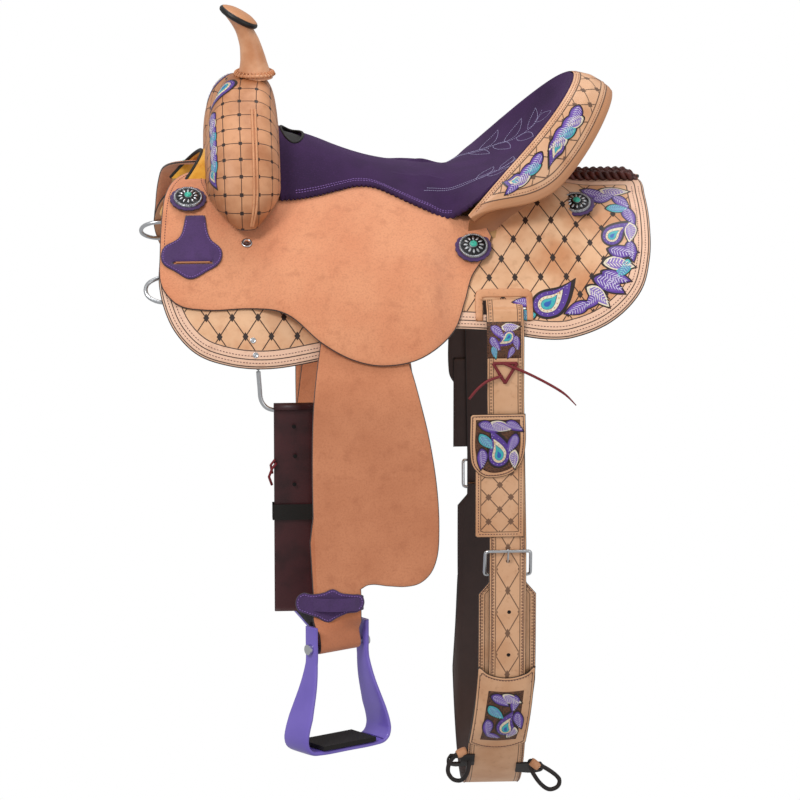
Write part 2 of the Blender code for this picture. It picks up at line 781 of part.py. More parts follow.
# Each row across the seat: its middle (x, z), and the rim angle of its ends in degrees or None
SEAT_ROWS = (
    (-0.1560, 0.0850, None), (-0.1380, 0.0790, None), (-0.1130, 0.0700, None), (-0.0870, 0.0590, None),
    (-0.0600, 0.0490, None), (-0.0380, 0.0420, None), (-0.0180, 0.0370, None), (0.0050, 0.0330, None),
    (0.0300, 0.0300, None), (0.0620, 0.0290, None), (0.0850, 0.0300, 83), (0.1080, 0.0330, 76),
    (0.1320, 0.0390, 69), (0.1560, 0.0490, 61), (0.1780, 0.0640, 53), (0.1970, 0.0840, 46),
    (0.2110, 0.1060, 40), (0.2200, 0.1280, 35), (0.2245, 0.1500, 30),
)
SEAT_COLUMNS = 16


def flap_thickness(across):
    """The seat is thick where the rider sits and thin on the flaps. across is -1 to 1."""
    return interpolate(abs(across), (0.55, 0.8), (SEAT_THICKNESS, SEAT_FLAP))


def seat_row(middle_x, middle_z, end_angle, is_last):
    """Points across one row of the seat's top, far side first."""
    row = []
    for step in range(SEAT_COLUMNS + 1):
        across = -1 + 2 * step / SEAT_COLUMNS
        if is_last:
            point = rim(math.radians(-across * end_angle), outward=-SEAT_INSIDE_RIM)
            row.append(Vector(point))
            continue
        if end_angle is None:
            s = seat_edge(middle_x)
            outward, up = BODY.at(s, over_jockey(middle_x, s) + SEAT_FLAP + 2 * FIT)
            end = Vector((middle_x, -outward, up))
        else:
            end = rim(math.radians(end_angle), outward=-SEAT_INSIDE_RIM)
        x = end.x + (middle_x - end.x) * (1 - across * across)
        y = across * abs(end.y)
        z = middle_z + (end.z - middle_z) * abs(across) ** 2.2
        if end_angle is None:
            thickness = flap_thickness(across)
            if abs(y) > 0.045:
                z = max(z, height_over(x, abs(y), lambda u, v: over_jockey(u, v) + thickness + 2 * FIT))
        row.append(Vector((x, y, z)))
    return row


def lowered(grid, depth):
    """The grid moved down its own normals. depth is a function of the row and column."""
    moved = []
    for i, row in enumerate(grid):
        line = []
        for j, point in enumerate(row):
            along = grid[min(i + 1, len(grid) - 1)][j] - grid[max(i - 1, 0)][j]
            across = row[min(j + 1, len(row) - 1)] - row[max(j - 1, 0)]
            line.append(point - along.cross(across).normalized() * depth(i, j))
        moved.append(line)
    return moved


def slab(name, upper, lower, kind):
    """A closed body between two grids of the same size."""
    bm = bmesh.new()
    tops = [[bm.verts.new(point) for point in row] for row in upper]
    bottoms = [[bm.verts.new(point) for point in row] for row in lower]
    rows, columns = len(tops), len(tops[0])
    for i in range(rows - 1):
        for j in range(columns - 1):
            skin(bm, tops[i][j], tops[i + 1][j], tops[i + 1][j + 1], tops[i][j + 1])
            skin(bm, bottoms[i][j], bottoms[i + 1][j], bottoms[i + 1][j + 1], bottoms[i][j + 1])
    border = [(0, j) for j in range(columns)] + [(i, columns - 1) for i in range(1, rows)]
    border += [(rows - 1, j) for j in range(columns - 2, -1, -1)] + [(i, 0) for i in range(rows - 2, 0, -1)]
    for (i, j), (k, m) in zip(border, border[1:] + border[:1]):
        skin(bm, tops[i][j], tops[k][m], bottoms[k][m], bottoms[i][j])
    return finish(add_object(name, mesh_from(bm, name)), kind, smooth=True)


def hand_hole(name):
    """The opening behind the fork that a hand goes through."""
    hole = cylinder(name, 1.0, 0.10, steps=20)
    placed(hole, Matrix.Diagonal((HOLE_HALF_LENGTH, HOLE_HALF_WIDTH, 1, 1)))
    return placed(hole, Matrix.Translation((HOLE_X, 0, 0.075)))


def make_seat():
    last = len(SEAT_ROWS) - 1
    top = [seat_row(*row, index == last) for index, row in enumerate(SEAT_ROWS)]

    def thickness(i, j):
        if SEAT_ROWS[i][2] is not None:
            return SEAT_THICKNESS
        return flap_thickness(-1 + 2 * j / SEAT_COLUMNS)

    seat = slab("seat", top, lowered(top, thickness), "purple_suede")
    seat = cut(seat, hand_hole("hand_hole"))
    for cutter in beds("seat_bed", over_jockey, 0):
        seat = cut(seat, cutter)
    finish(seat, "purple_suede", smooth=True)

    keep = [j for j in range(SEAT_COLUMNS + 1) if abs(-1 + 2 * j / SEAT_COLUMNS) < 0.52]
    used = range(len(SEAT_ROWS) - 5)
    upper = lowered(top, lambda i, j: SEAT_THICKNESS + 2 * FIT)
    lower = lowered(top, lambda i, j: SEAT_THICKNESS + 2 * FIT + GROUND_SEAT)
    upper, lower = ([[grid[i][j] for j in keep] for i in used] for grid in (upper, lower))
    ground = slab("ground_seat", upper, lower, "wood")
    ground = cut(ground, hand_hole("hand_hole_below"))
    for cutter in beds("ground_bed", bar_top, FIT):
        ground = cut(ground, cutter)
    finish(ground, "wood", smooth=True)


ROLL_ANGLES = [math.radians(12 * step) for step in range(-7, 8)]

# Padded top of the roll: share of the way across, and height as a share of the width
ROLL_PROFILE = ((0.15, 0.075), (0.42, 0.125), (0.70, 0.095), (0.95, 0.028))


def make_cantle():
    # Roll: a padded band from the rim out and down to its stitched edge
    rings = []
    for beta in ROLL_ANGLES:
        width = (roll_edge(beta) - rim(beta)).length
        profile = [(0.0, 0.0005)]
        profile += [(share, height * width) for share, height in ROLL_PROFILE]
        profile += [(1.0, -0.2 * ROLL_THICKNESS)] + [(share, -ROLL_THICKNESS) for share in (0.97, 0.5, 0.0)]
        rings.append([roll_point(beta, share, height) for share, height in profile])
    loft("cheyenne_roll", rings, "tooled")

    # Board under the roll and the leather behind it, both down to the bars
    board, back = [], []
    for beta in ROLL_ANGLES[2:-2]:
        under = -ROLL_THICKNESS - 2 * FIT
        front, rear = roll_point(beta, 0.06, under), roll_point(beta, 0.32, under)
        board.append([front, rear, Vector((rear.x, rear.y, -0.06)), Vector((front.x, front.y, -0.06))])
        inner, outer = roll_point(beta, 0.335, under), roll_point(beta, 0.42, under)
        back.append([inner, outer, Vector((outer.x, outer.y, -0.06)), Vector((inner.x, inner.y, -0.06))])
    pieces = (("cantle_board", board, "wood", FIT), ("cantle_back", back, "tooled", 0.006))
    for name, rings, kind, gap in pieces:
        piece = loft(name, rings, kind, smooth=False)
        for cutter in beds(name + "_bed", bar_top, gap):
            piece = cut(piece, cutter)
        piece = cut(piece, box(name + "_channel", (0.0, -0.04, -0.1), (0.35, 0.04, 0.045)))
        finish(piece, kind)


# Small pieces on the leather


def resting_frame(x, s, level, radius):
    """A frame for a flat piece resting on the near side: +Z outward, +X to the rear, +Y up the side.

    level is a function of (x, s). The piece touches the highest point within the radius.
    """
    def surface(place):
        outward, up = BODY.at(place, level(x, place))
        return Vector((x, -outward, up))

    upper, lower = surface(s - radius), surface(s + radius)
    up_side = (upper - lower).normalized()
    normal = Vector((1, 0, 0)).cross(up_side)
    origin = surface(s)
    places = [s + radius * step / 6 for step in range(-6, 7)]
    lift = max((surface(place) - origin).dot(normal) for place in places)
    return axes_matrix(origin + normal * (lift + FIT), Vector((1, 0, 0)), up_side, normal)


def make_concho(name, x, s, level):
    """A domed metal concho on its leather rosette."""
    profile = [
        (0, 0.0105), (0.006, 0.0098), (0.0085, 0.0075), (0.0135, 0.0062), (0.0175, 0.0065),
        (0.0190, 0.0052), (0.0195, 0.0030), (CONCHO_FLANGE, 0.0028), (CONCHO_FLANGE, 0.0), (0, 0.0),
    ]
    left = turned(name + "_left", profile, "dark_silver", steps=20)
    placed(left, resting_frame(x, s, level, CONCHO_FLANGE))
    both_sides(left, "dark_silver")


def make_trim():
    make_concho("concho_front", -0.290, 0.080, over_jockey)
    make_concho("concho_middle", 0.090, 0.150, over_jockey)
    make_concho("concho_rear", 0.233, 0.081, lambda x, s: SKIRT_TOP)
    outline = [
        (-0.294, 0.108, "corner"), (-0.303, 0.132), (-0.326, 0.148), (-0.327, 0.166), (-0.310, 0.179),
        (-0.290, 0.190), (-0.268, 0.180), (-0.249, 0.166), (-0.247, 0.150), (-0.262, 0.134), (-0.268, 0.108, "corner"),
    ]
    slot = slot_outline(-0.286, 0.167, 0.026, 0.0019)
    keeper = leather("latigo_keeper_left", outline, THIN_LEATHER, over_jockey, "purple_suede", holes=[slot])
    both_sides(keeper, "purple_suede")


# Fender, stirrup leather and stirrup


def fender_form():
    """Straight down from the pivot in the plane of the skirt there, then bending to hang."""
    slope = BODY.angle(PIVOT_S)
    start = Vector(BODY.at(PIVOT_S, HANG_LEVEL))
    down = Vector((math.cos(slope), -math.sin(slope)))
    points = [start + down * LEATHER_TOP * 1.5, start + down * FENDER_BEND_START]
    steps = 4
    turn = (FENDER_END_ANGLE - slope) / steps
    chord = FENDER_BEND_RADIUS * turn
    for step in range(steps):
        angle = slope + turn * (step + 0.5)
        points.append(points[-1] + Vector((math.cos(angle), -math.sin(angle))) * chord)
    last = Vector((math.cos(FENDER_END_ANGLE), -math.sin(FENDER_END_ANGLE)))
    points.append(points[-1] + last * 0.45)
    return Form(points, start=LEATHER_TOP * 1.5)


FENDER = fender_form()
LEG_CENTRE = STRAP_LEATHER + FIT / 2


def leg_frame(turn, r=BOLT_R):
    """On the middle of the near leg at r: X across the twisted strap, Y inward, Z up the leg."""
    outward, up = FENDER.at(r, LEG_CENTRE)
    inward = Vector((0, math.sin(FENDER_END_ANGLE), -math.cos(FENDER_END_ANGLE)))
    upwards = Vector((0, math.cos(FENDER_END_ANGLE), math.sin(FENDER_END_ANGLE)))
    twist = Matrix.Rotation(turn, 3, upwards)
    return axes_matrix((HANG_X, -outward, up), twist @ Vector((1, 0, 0)), twist @ inward, upwards)


def leather_centre(r):
    return interpolate(r, (0, 0.30, 0.37), (PIVOT_X, -0.104, HANG_X))


def leg_ring(turn, height, inner, outer):
    """A section of the strap near the bolt, from its two faces, outward from the leg's middle.

    The strap is drawn in where it twists, the more so the further it turns.
    """
    share = interpolate(BOLT_R - height, (TWIST_START, TWIST_END), (0, 1))
    frame = leg_frame(turn * share, BOLT_R - height)
    half = LOOP_HALF_WIDTH * (1 - GATHER_PER_TURN * turn * math.sin(math.pi * share))
    corners = ((-half, inner), (half, inner), (half, outer), (-half, outer))
    return [frame @ Vector((across, -out, 0)) for across, out in corners]


def make_stirrup_leather(name, turn):
    """Down behind the fender, twisted, round the bolt, and up again to the hobble strap.

    Both legs are split along the same diagonals, so that they stay apart where they twist.
    """
    rings = []
    for r in (LEATHER_TOP, 0.0, FENDER_BEND_START, *FENDER.stations[2:-1], 0.20, 0.30, 0.37):
        middle = leather_centre(r)
        half = interpolate(r, (0.20, 0.37), (LEATHER_HALF_WIDTH, LOOP_HALF_WIDTH))
        inner, outer = FENDER.at(r, STRAP_LEATHER), FENDER.at(r, 0)
        ring = [(middle - half, inner), (middle + half, inner), (middle + half, outer), (middle - half, outer)]
        rings.append([Vector((x, -point[0], point[1])) for x, point in ring])
    near, far = FIT / 2, FIT / 2 + STRAP_LEATHER
    steps = 12
    twisted = [BOLT_R - TWIST_START + (TWIST_START - TWIST_END) * step / steps for step in range(steps + 1)]
    for height in twisted:
        rings.append(leg_ring(turn, height, -near, -far))
    frame = leg_frame(turn)
    round_bolt = BOLT_RADIUS + 2 * FIT
    half = LOOP_HALF_WIDTH
    outside = round_bolt + STRAP_LEATHER
    turning_row = len(rings)
    for degrees in range(150, 391, 30):
        angle = math.radians(degrees)
        ring = []
        for across, radius in ((-half, round_bolt), (half, round_bolt), (half, outside), (-half, outside)):
            ring.append(frame @ Vector((across, -radius * math.cos(angle), radius * math.sin(angle))))
        rings.append(ring)
    for height in twisted[::-1]:
        rings.append(leg_ring(turn, height, near, far))
    rings.append(leg_ring(turn, BOLT_R - FENDER_TAIL - 0.002, near, far))
    def from_a(row, index):
        return (index == 0) == (row < turning_row)

    return loft(name, rings, "roughout", smooth=False, from_a=from_a)


STIRRUP_PATH = (
    (0.0430, STIRRUP_RISE), (0.0430, 0.008), (0.0430, -0.016), (0.0480, -0.046), (0.0600, -0.085),
    (0.0680, -0.110), (0.0695, -0.121), (0.0665, -0.131), (0.0590, -0.1365), (0.0480, -STIRRUP_DROP),
)


def make_stirrup(turn):
    """The band, its bolt and its tread, in the frame of the bolt."""
    half = [(b, z) for b, z in STIRRUP_PATH]
    path = Form(half + [(-b, z) for b, z in half[::-1]])
    rings = []
    for station in path.stations:
        inner, outer = path.at(station, -STIRRUP_WALL / 2), path.at(station, STIRRUP_WALL / 2)
        depths = (STIRRUP_DEPTH, 0.048, STIRRUP_EAR_DEPTH)
        depth = interpolate(inner[1], (-STIRRUP_DROP, -0.09, -0.02), depths) / 2
        corners = ((inner, -depth), (outer, -depth), (outer, depth), (inner, depth))
        rings.append([Vector((point[0], y, point[1])) for point, y in corners])
    band = loft("stirrup", rings, "purple_metal", smooth=False)
    across = Matrix.Rotation(math.pi / 2, 4, "Y")
    bore = placed(cylinder("bolt_bore", BOLT_RADIUS + FIT, 0.12, steps=20), across)
    band = finish(cut(band, bore), "purple_metal")

    ear = STIRRUP_PATH[0][0] + STIRRUP_WALL / 2 + FIT
    head = ear + 0.0040
    profile = [
        (0, head), (0.0070, head), (0.0070, ear), (BOLT_RADIUS, ear),
        (BOLT_RADIUS, -ear), (0.0070, -ear), (0.0070, -head), (0, -head),
    ]
    bolt = placed(turned("stirrup_bolt", profile, "steel", steps=20), across)
    low = -STIRRUP_DROP + STIRRUP_WALL / 2 + FIT
    half_depth = STIRRUP_DEPTH / 2 + 0.001
    half = TREAD_HALF_WIDTH
    tread = box("stirrup_tread", (-half, -half_depth, low), (half, half_depth, low + TREAD_THICKNESS))
    finish(tread, "black_rubber")
    for piece in (band, bolt, tread):
        placed(piece, leg_frame(turn))
    return band, bolt, tread


def make_fenders():
    outline = [
        (-0.068, -0.055), (-0.100, -0.045), (-0.119, -0.015), (-0.119, 0.030), (-0.124, 0.064), (-0.130, 0.113),
        (-0.1325, 0.190), (-0.131, 0.303), (-0.1290, 0.356), (-0.1280, FENDER_TAIL, "corner"),
        (-0.0700, FENDER_TAIL, "corner"), (-0.0690, 0.365, "corner"), (-0.058, 0.3590), (-0.030, 0.3610),
        (-0.008, 0.3620), (0.010, 0.358), (0.025, 0.345), (0.034, 0.323), (0.037, 0.285), (0.034, 0.225),
        (0.023, 0.155), (0.010, 0.102), (0.000, 0.066), (-0.012, 0.030), (-0.017, -0.015), (-0.036, -0.045),
    ]
    fender = leather("fender_left", outline, FENDER_LEATHER, STRAP_LEATHER + FIT, "roughout", form=FENDER)
    both_sides(fender, "roughout")

    # The hobble strap goes round the leg just above the stirrup
    behind = LEG_CENTRE + FIT
    before = FIT + STRAP_LEATHER + FENDER_LEATHER - LEG_CENTRE + FIT
    inside = LOOP_HALF_WIDTH + 0.003
    inner = [(-inside, -before), (inside, -before), (inside, behind), (-inside, behind)]
    before, behind, half = before + THIN_LEATHER, behind + THIN_LEATHER, HOBBLE_HALF_WIDTH
    outer = [(-half, -before + 0.001), (-half + 0.006, -before), (half - 0.006, -before), (half, -before + 0.001)]
    outer += [(half, behind - 0.001), (half - 0.006, behind), (-half + 0.006, behind), (-half, behind - 0.001)]
    hobble = extruded("hobble_strap_left", outer, HOBBLE_BOTTOM - HOBBLE_TOP, "purple_suede", holes=[inner])
    placed(hobble, leg_frame(0, (HOBBLE_TOP + HOBBLE_BOTTOM) / 2))
    both_sides(hobble, "purple_suede")


def renamed(obj, name, flip):
    """The piece under a new name, mirrored to the far side when flip is true."""
    if not flip:
        obj.name = name
        return obj
    far = mirrored(obj, name)
    bpy.data.objects.remove(obj)
    return far


def make_legs():
    for side, turn in (("left", TWIST_NEAR), ("right", TWIST_FAR)):
        flip = side == "right"
        finish(renamed(make_stirrup_leather("leg", turn), f"stirrup_leather_{side}", flip), "roughout")
        band, bolt, tread = make_stirrup(turn)
        finish(renamed(band, f"stirrup_{side}", flip), "purple_metal")
        finish(renamed(bolt, f"stirrup_bolt_{side}", flip), "steel", smooth=True)
        finish(renamed(tread, f"stirrup_tread_{side}", flip), "black_rubber")


# Front rigging


def dee_points(half, drop):
    """A dee in XZ, its bar at the top and a flat bow for the strap."""
    side = [(half - 0.007, 0), (half - 0.0025, -0.002), (half, -0.007), (half, -drop * 0.64)]
    side += [(half - 0.002, -drop * 0.84), (half - 0.008, -drop * 0.955), (half - 0.015, -drop)]
    return [(x, 0, z) for x, z in side] + [(-x, 0, z) for x, z in side[::-1]]


def breast_dee_frame():
    """On the dee's bar, which lies between the skirt and the stand."""
    return resting_frame(BREAST_DEE_X, BREAST_DEE_S, lambda x, s: BREAST_DEE_LEVEL, 0.015)


def make_rigging():
    outward, up = BODY.at(DEE_S, DEE_BAR_LEVEL)
    dee = wire("rigging_dee_left", dee_points(DEE_HALF_WIDTH, DEE_DROP), DEE_WIRE, "steel", cyclic=True)
    placed(dee, Matrix.Translation((DEE_X, -outward, up)))
    both_sides(dee, "steel")

    # The latigo is doubled over the bow of the dee and stitched together below it
    eye = DEE_WIRE + 2 * FIT
    head = eye + STRAP_LEATHER
    thick = LATIGO_THICKNESS / 2
    length = up - DEE_DROP - LATIGO_BOTTOM_Z
    angles = [math.radians(a) for a in range(-50, 231, 20)]
    outline = [(head * math.cos(angle), head * math.sin(angle)) for angle in angles]
    outline += [(-thick, -head), (-thick, -length + 0.003), (-thick + 0.002, -length), (thick - 0.002, -length)]
    outline += [(thick, -length + 0.003), (thick, -head)]
    latigo = extruded("latigo_left", outline, LATIGO_WIDTH, "maroon_leather", holes=[circle(12, eye)])
    bow = (DEE_X, -outward, up - DEE_DROP)
    placed(latigo, axes_matrix(bow, Vector((0, -1, 0)), Vector((0, 0, 1)), Vector((-1, 0, 0))))

    half = LATIGO_WIDTH / 2 + FIT
    gap = thick + FIT
    inner = [(-half, -gap), (half, -gap), (half, gap), (-half, gap)]
    wide, deep = half + 0.0025, gap + 0.0025
    outer = [(-wide, -deep), (wide, -deep), (wide, deep), (-wide, deep)]
    keeper = extruded("latigo_end_keeper", outer, 0.024, "dark_leather", holes=[inner])
    placed(keeper, Matrix.Translation((DEE_X, -outward, -0.391)))

    # Breast collar dees, on a bar under the front edge of the skirt
    bow = [(0, -0.015), (-0.003, -0.0185), (-0.010, -0.019), (-0.024, -0.0165), (-0.035, -0.009)]
    points = bow + [(-0.038, 0.0)] + [(x, -y) for x, y in bow[::-1]]
    breast = wire("breast_dee_left", [(x, y, 0) for x, y in points], DEE_WIRE, "steel", cyclic=True)
    placed(breast, breast_dee_frame())
    both_sides(breast, "steel")


# Flank cinch and rear billets

BILLET_OUTWARD = BODY.at(0.2725, ON_SKIRT + BILLET_LIFT + STRAP_LEATHER / 2)[0]
CINCH_HALF = BILLET_OUTWARD - BILLET_OVER_CINCH - STRAP_LEATHER / 2


def cinch_form():
    """From the near buckle's bar down, under the horse and up to the far buckle's bar."""
    drop = CINCH_CURVE_Z - CINCH_BOTTOM_Z
    points = [(CINCH_HALF, BUCKLE_BAR_Z), (CINCH_HALF, CINCH_CURVE_Z + 0.02)]
    for degrees in range(0, 181, 12):
        angle = math.radians(degrees)
        points.append((CINCH_HALF * math.cos(angle), CINCH_CURVE_Z - drop * math.sin(angle)))
    points += [(-CINCH_HALF, CINCH_CURVE_Z + 0.02), (-CINCH_HALF, BUCKLE_BAR_Z)]
    return Form(points)


CINCH = cinch_form()


def drift(z):
    """How far the straps have moved to the rear at this height."""
    low = CINCH_BOTTOM_Z
    heights = (low, low + 0.100, low + 0.200, BUCKLE_BAR_Z + 0.045, BUCKLE_BAR_Z + 0.250)
    return interpolate(z, heights, (CINCH_DRIFT_BACK, CINCH_DRIFT_BACK, CINCH_DRIFT, CINCH_DRIFT, 0))


def cinch_half_width(z):
    return interpolate(z, (BUCKLE_BAR_Z - 0.027, BUCKLE_BAR_Z - 0.011), (CINCH_WIDTH / 2, 0.0255))


def make_cinch():
    eye = CINCH_LEATHER / 2 + 0.0030
    lean = math.degrees(math.acos(CINCH_LEATHER / 2 / eye))
    leave = math.sqrt(eye * eye - CINCH_LEATHER * CINCH_LEATHER / 4)
    turns = [180 + lean - (180 + 2 * lean) * step / 8 for step in range(9)]
    around = [(eye * math.cos(math.radians(angle)), eye * math.sin(math.radians(angle))) for angle in turns]
    centre = CINCH_HALF + CINCH_LEATHER / 2
    outline = [(centre + u, BUCKLE_BAR_Z + z) for u, z in around]
    extra = [0.010, 0.019]
    end = CINCH.stations[-1]
    places = extra + CINCH.stations[1:-1] + [end - place for place in extra[::-1]]
    outline += [tuple(CINCH.at(place, CINCH_LEATHER)) for place in places]
    outline += [(-centre + u, BUCKLE_BAR_Z + z) for u, z in around]
    outline += [tuple(CINCH.at(place, 0)) for place in places[::-1]]
    bore = circle(12, BUCKLE_WIRE + 0.0005)
    holes = [[(x + middle, z + BUCKLE_BAR_Z) for x, z in bore] for middle in (centre, -centre)]
    cinch = extruded("flank_cinch", outline, 1.0, "tooled", holes=holes)
    for vert in cinch.data.vertices:
        u, z, across = vert.co
        vert.co = (BILLET_X + 2 * across * cinch_half_width(z) + drift(z), -u, z)
    cinch = baked(cinch)
    for side in (-1, 1):
        middle = Vector((BUCKLE_X, side * centre, BUCKLE_BAR_Z))
        low, high = middle - Vector((0.0045, 0.0075, 0.0062)), middle + Vector((0.0045, 0.0075, 0.0075))
        cinch = cut(cinch, box("tongue_notch", low, high))
    finish(cinch, "tooled")


def make_billets():
    lift = ON_SKIRT + BILLET_LIFT + STRAP_LEATHER / 2
    inside = SKIRT_LEVEL + BILLET_INSIDE
    top = [BODY.at(BILLET_S - 0.004, inside), BODY.at(BILLET_S + 0.002, inside), BODY.at(BILLET_S + 0.0075, lift)]
    top += [BODY.at(0.2620, lift), (BILLET_OUTWARD, BODY.at(0.2725, lift)[1] - 0.003)]
    middle = BILLET_OVER_CINCH + STRAP_LEATHER / 2
    end = 0.217
    stations = [0.0] + [place for place in CINCH.stations[1:] if place < end] + [end]
    form = Form([tuple(point) for point in top] + [tuple(CINCH.at(place, middle)) for place in stations])
    rings = []
    for index, station in enumerate(form.stations):
        half = BILLET_WIDTH / 2 - (0.005 if index < 2 else 0)
        inner, outer = form.at(station, -STRAP_LEATHER / 2), form.at(station, STRAP_LEATHER / 2)
        ring = [(-half, inner), (half, inner), (half, outer), (-half, outer)]
        rings.append([Vector((BILLET_X + x + drift(p[1]), -p[0], p[1])) for x, p in ring])
    billet = loft("rear_billet_left", rings, "tooled", smooth=False)
    low = (BUCKLE_X - 0.0030, -BILLET_OUTWARD - 0.02, BUCKLE_BAR_Z - 0.0045)
    high = (BUCKLE_X + 0.0030, -BILLET_OUTWARD + 0.02, BUCKLE_BAR_Z + 0.0260)
    billet = finish(cut(billet, box("tongue_slot", low, high)), "tooled")
    both_sides(billet, "tooled")

    # Two tooled flaps that hang over the billet, the rounded shield on the straight panel
    panel = [
        (-0.0300, -0.300), (0.0360, -0.300), (0.0360, -0.427),
        (0.0340, -0.429), (-0.0280, -0.429), (-0.0300, -0.427),
    ]
    shield = [
        (-0.0370, -0.257), (0.0370, -0.257), (0.0370, -0.303), (0.0330, -0.322), (0.0240, -0.335), (0.0120, -0.342),
        (-0.0040, -0.345), (-0.0180, -0.344), (-0.0290, -0.336), (-0.0350, -0.325), (-0.0370, -0.313),
    ]
    face = BILLET_OUTWARD + STRAP_LEATHER / 2
    for name, outline in (("billet_panel_left", panel), ("billet_shield_left", shield)):
        flap = extruded(name, outline, FLAP_LEATHER, "tooled")
        face += FIT + FLAP_LEATHER
        middle = (BILLET_X - 0.0105, -face + FLAP_LEATHER / 2, 0)
        placed(flap, axes_matrix(middle, Vector((1, 0, 0)), Vector((0, 0, 1)), Vector((0, -1, 0))))
        both_sides(flap, "tooled")

    # Pocket that covers the billet's end
    near, far = 0.0265, 0.0335

    def pocket_level(x, s):
        over = BILLET_OVER_CINCH + STRAP_LEATHER + FIT
        return interpolate(abs(x - BILLET_X), (near, far), (over, CINCH_LEATHER + FIT))

    half = CINCH_WIDTH / 2
    outline = [
        (BILLET_X - half, 0.129, "corner"), (BILLET_X, 0.142), (BILLET_X + half, 0.129, "corner"),
        (BILLET_X + half, 0.200), (BILLET_X + half, 0.257, "corner"), (BILLET_X, 0.269),
        (BILLET_X - half, 0.257, "corner"), (BILLET_X - half, 0.200),
    ]
    creases = [BILLET_X + offset for offset in (-far, -near, near, far)]
    pocket = leather(
        "cinch_pocket_left", outline, THIN_LEATHER, pocket_level, "tooled",
        form=CINCH, cross=creases, shift=lambda s: drift(CINCH.at(s)[1]),
    )
    both_sides(pocket, "tooled")


def make_buckles():
    bar_level = CINCH_LEATHER / 2
    top_level = BILLET_OVER_CINCH + STRAP_LEATHER + 2 * FIT + BUCKLE_WIRE
    corner, wide, rise = BUCKLE_HALF_WIDTH - 0.004, BUCKLE_HALF_WIDTH, BUCKLE_HEIGHT
    slope = (top_level - bar_level) / rise
    side = [(corner, 0), (wide, 0.004), (wide, rise - 0.004), (corner, rise)]
    path = side + [(-x, z) for x, z in side[::-1]]
    points = [(x, -bar_level - slope * z, z) for x, z in path]
    buckle = wire("cinch_buckle_left", points, BUCKLE_WIRE, "steel", cyclic=True)
    place = Matrix.Translation((BUCKLE_X, -CINCH_HALF, BUCKLE_BAR_Z))
    both_sides(placed(buckle, place), "steel")

    thin = 0.0014
    ring = BUCKLE_WIRE + FIT + thin
    path = []
    for degrees in (150, 180, 210, 240, 270, 300, 325, 343):
        angle = math.radians(degrees)
        path.append((bar_level + ring * math.cos(angle), ring * math.sin(angle)))
    path.append((top_level + ring + 0.0020, rise + 0.004))
    tongue = wire("buckle_tongue_left", [(0, -level, z) for level, z in path], thin, "steel")
    both_sides(placed(tongue, place), "steel")


def make_connectors():
    for name, side, start in (("front", -1, 0.283), ("rear", 1, 0.307)):
        near = BILLET_X + side * (CINCH_WIDTH / 2 - 0.010)
        far = BILLET_X + side * (CINCH_WIDTH / 2 + 0.028)
        outline = [
            (near, start, "corner"), (near, start + 0.026, "corner"), (far - side * 0.004, start + 0.026),
            (far, start + 0.013), (far - side * 0.004, start, "corner"),
        ]
        middle, half = (near + far) / 2 + side * 0.008, 0.008
        hole = slot_outline(middle, start + 0.013, half, 0.0065)
        leather(
            f"connector_loop_{name}", outline, THIN_LEATHER, CINCH_LEATHER + FIT, "dark_leather",
            form=CINCH, holes=[hole], shift=lambda s: drift(CINCH.at(s)[1]),
        )


# Joints


def hang(names, point):
    """Puts the origins of pieces on their joint's axis and leaves the pieces where they are."""
    for name in names:
        obj = SADDLE.objects[name]
        obj.data.transform(Matrix.Translation(-point))
        obj.location = point


def hang_both(names, near, far=None):
    """The same for left and right pieces. The far point mirrors the near one unless it is given."""
    hang([name + "_left" for name in names], near)
    hang([name + "_right" for name in names], far or Vector((near.x, -near.y, near.z)))


def set_origins():
    outward, up = BODY.at(PIVOT_S, HANG_LEVEL)
    hang_both(("fender", "stirrup_leather", "hobble_strap"), Vector((PIVOT_X, -outward, up)))
    near, far = leg_frame(TWIST_NEAR).translation, leg_frame(TWIST_FAR).translation
    hang_both(("stirrup", "stirrup_bolt", "stirrup_tread"), near, Vector((far.x, -far.y, far.z)))
    outward, up = BODY.at(DEE_S, DEE_BAR_LEVEL)
    hang_both(("rigging_dee",), Vector((DEE_X, -outward, up)))
    hang(("latigo_left", "latigo_end_keeper"), Vector((DEE_X, -outward, up - DEE_DROP)))
    hang_both(("breast_dee",), breast_dee_frame().translation)
    slot = Vector((BILLET_X, 0, BODY.at(BILLET_S, SKIRT_LEVEL + BILLET_INSIDE)[1]))
    hang_both(("rear_billet", "billet_panel", "billet_shield", "cinch_pocket", "cinch_buckle"), slot)
    hang(("flank_cinch", "connector_loop_front", "connector_loop_rear"), slot)
    bar = Vector((BUCKLE_X, -CINCH_HALF - CINCH_LEATHER / 2, BUCKLE_BAR_Z))
    hang_both(("buckle_tongue",), bar)


make_bars()
make_gullet()
make_fork()
make_horn()
make_skirts()
make_lacing()
make_jockeys()
make_seat()
make_cantle()
make_trim()
make_fenders()
make_legs()
make_rigging()
make_cinch()
make_billets()
make_buckles()
make_connectors()
set_origins()
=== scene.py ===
import json
import math

import bpy
import numpy as np
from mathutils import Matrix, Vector
from mathutils.geometry import delaunay_2d_cdt

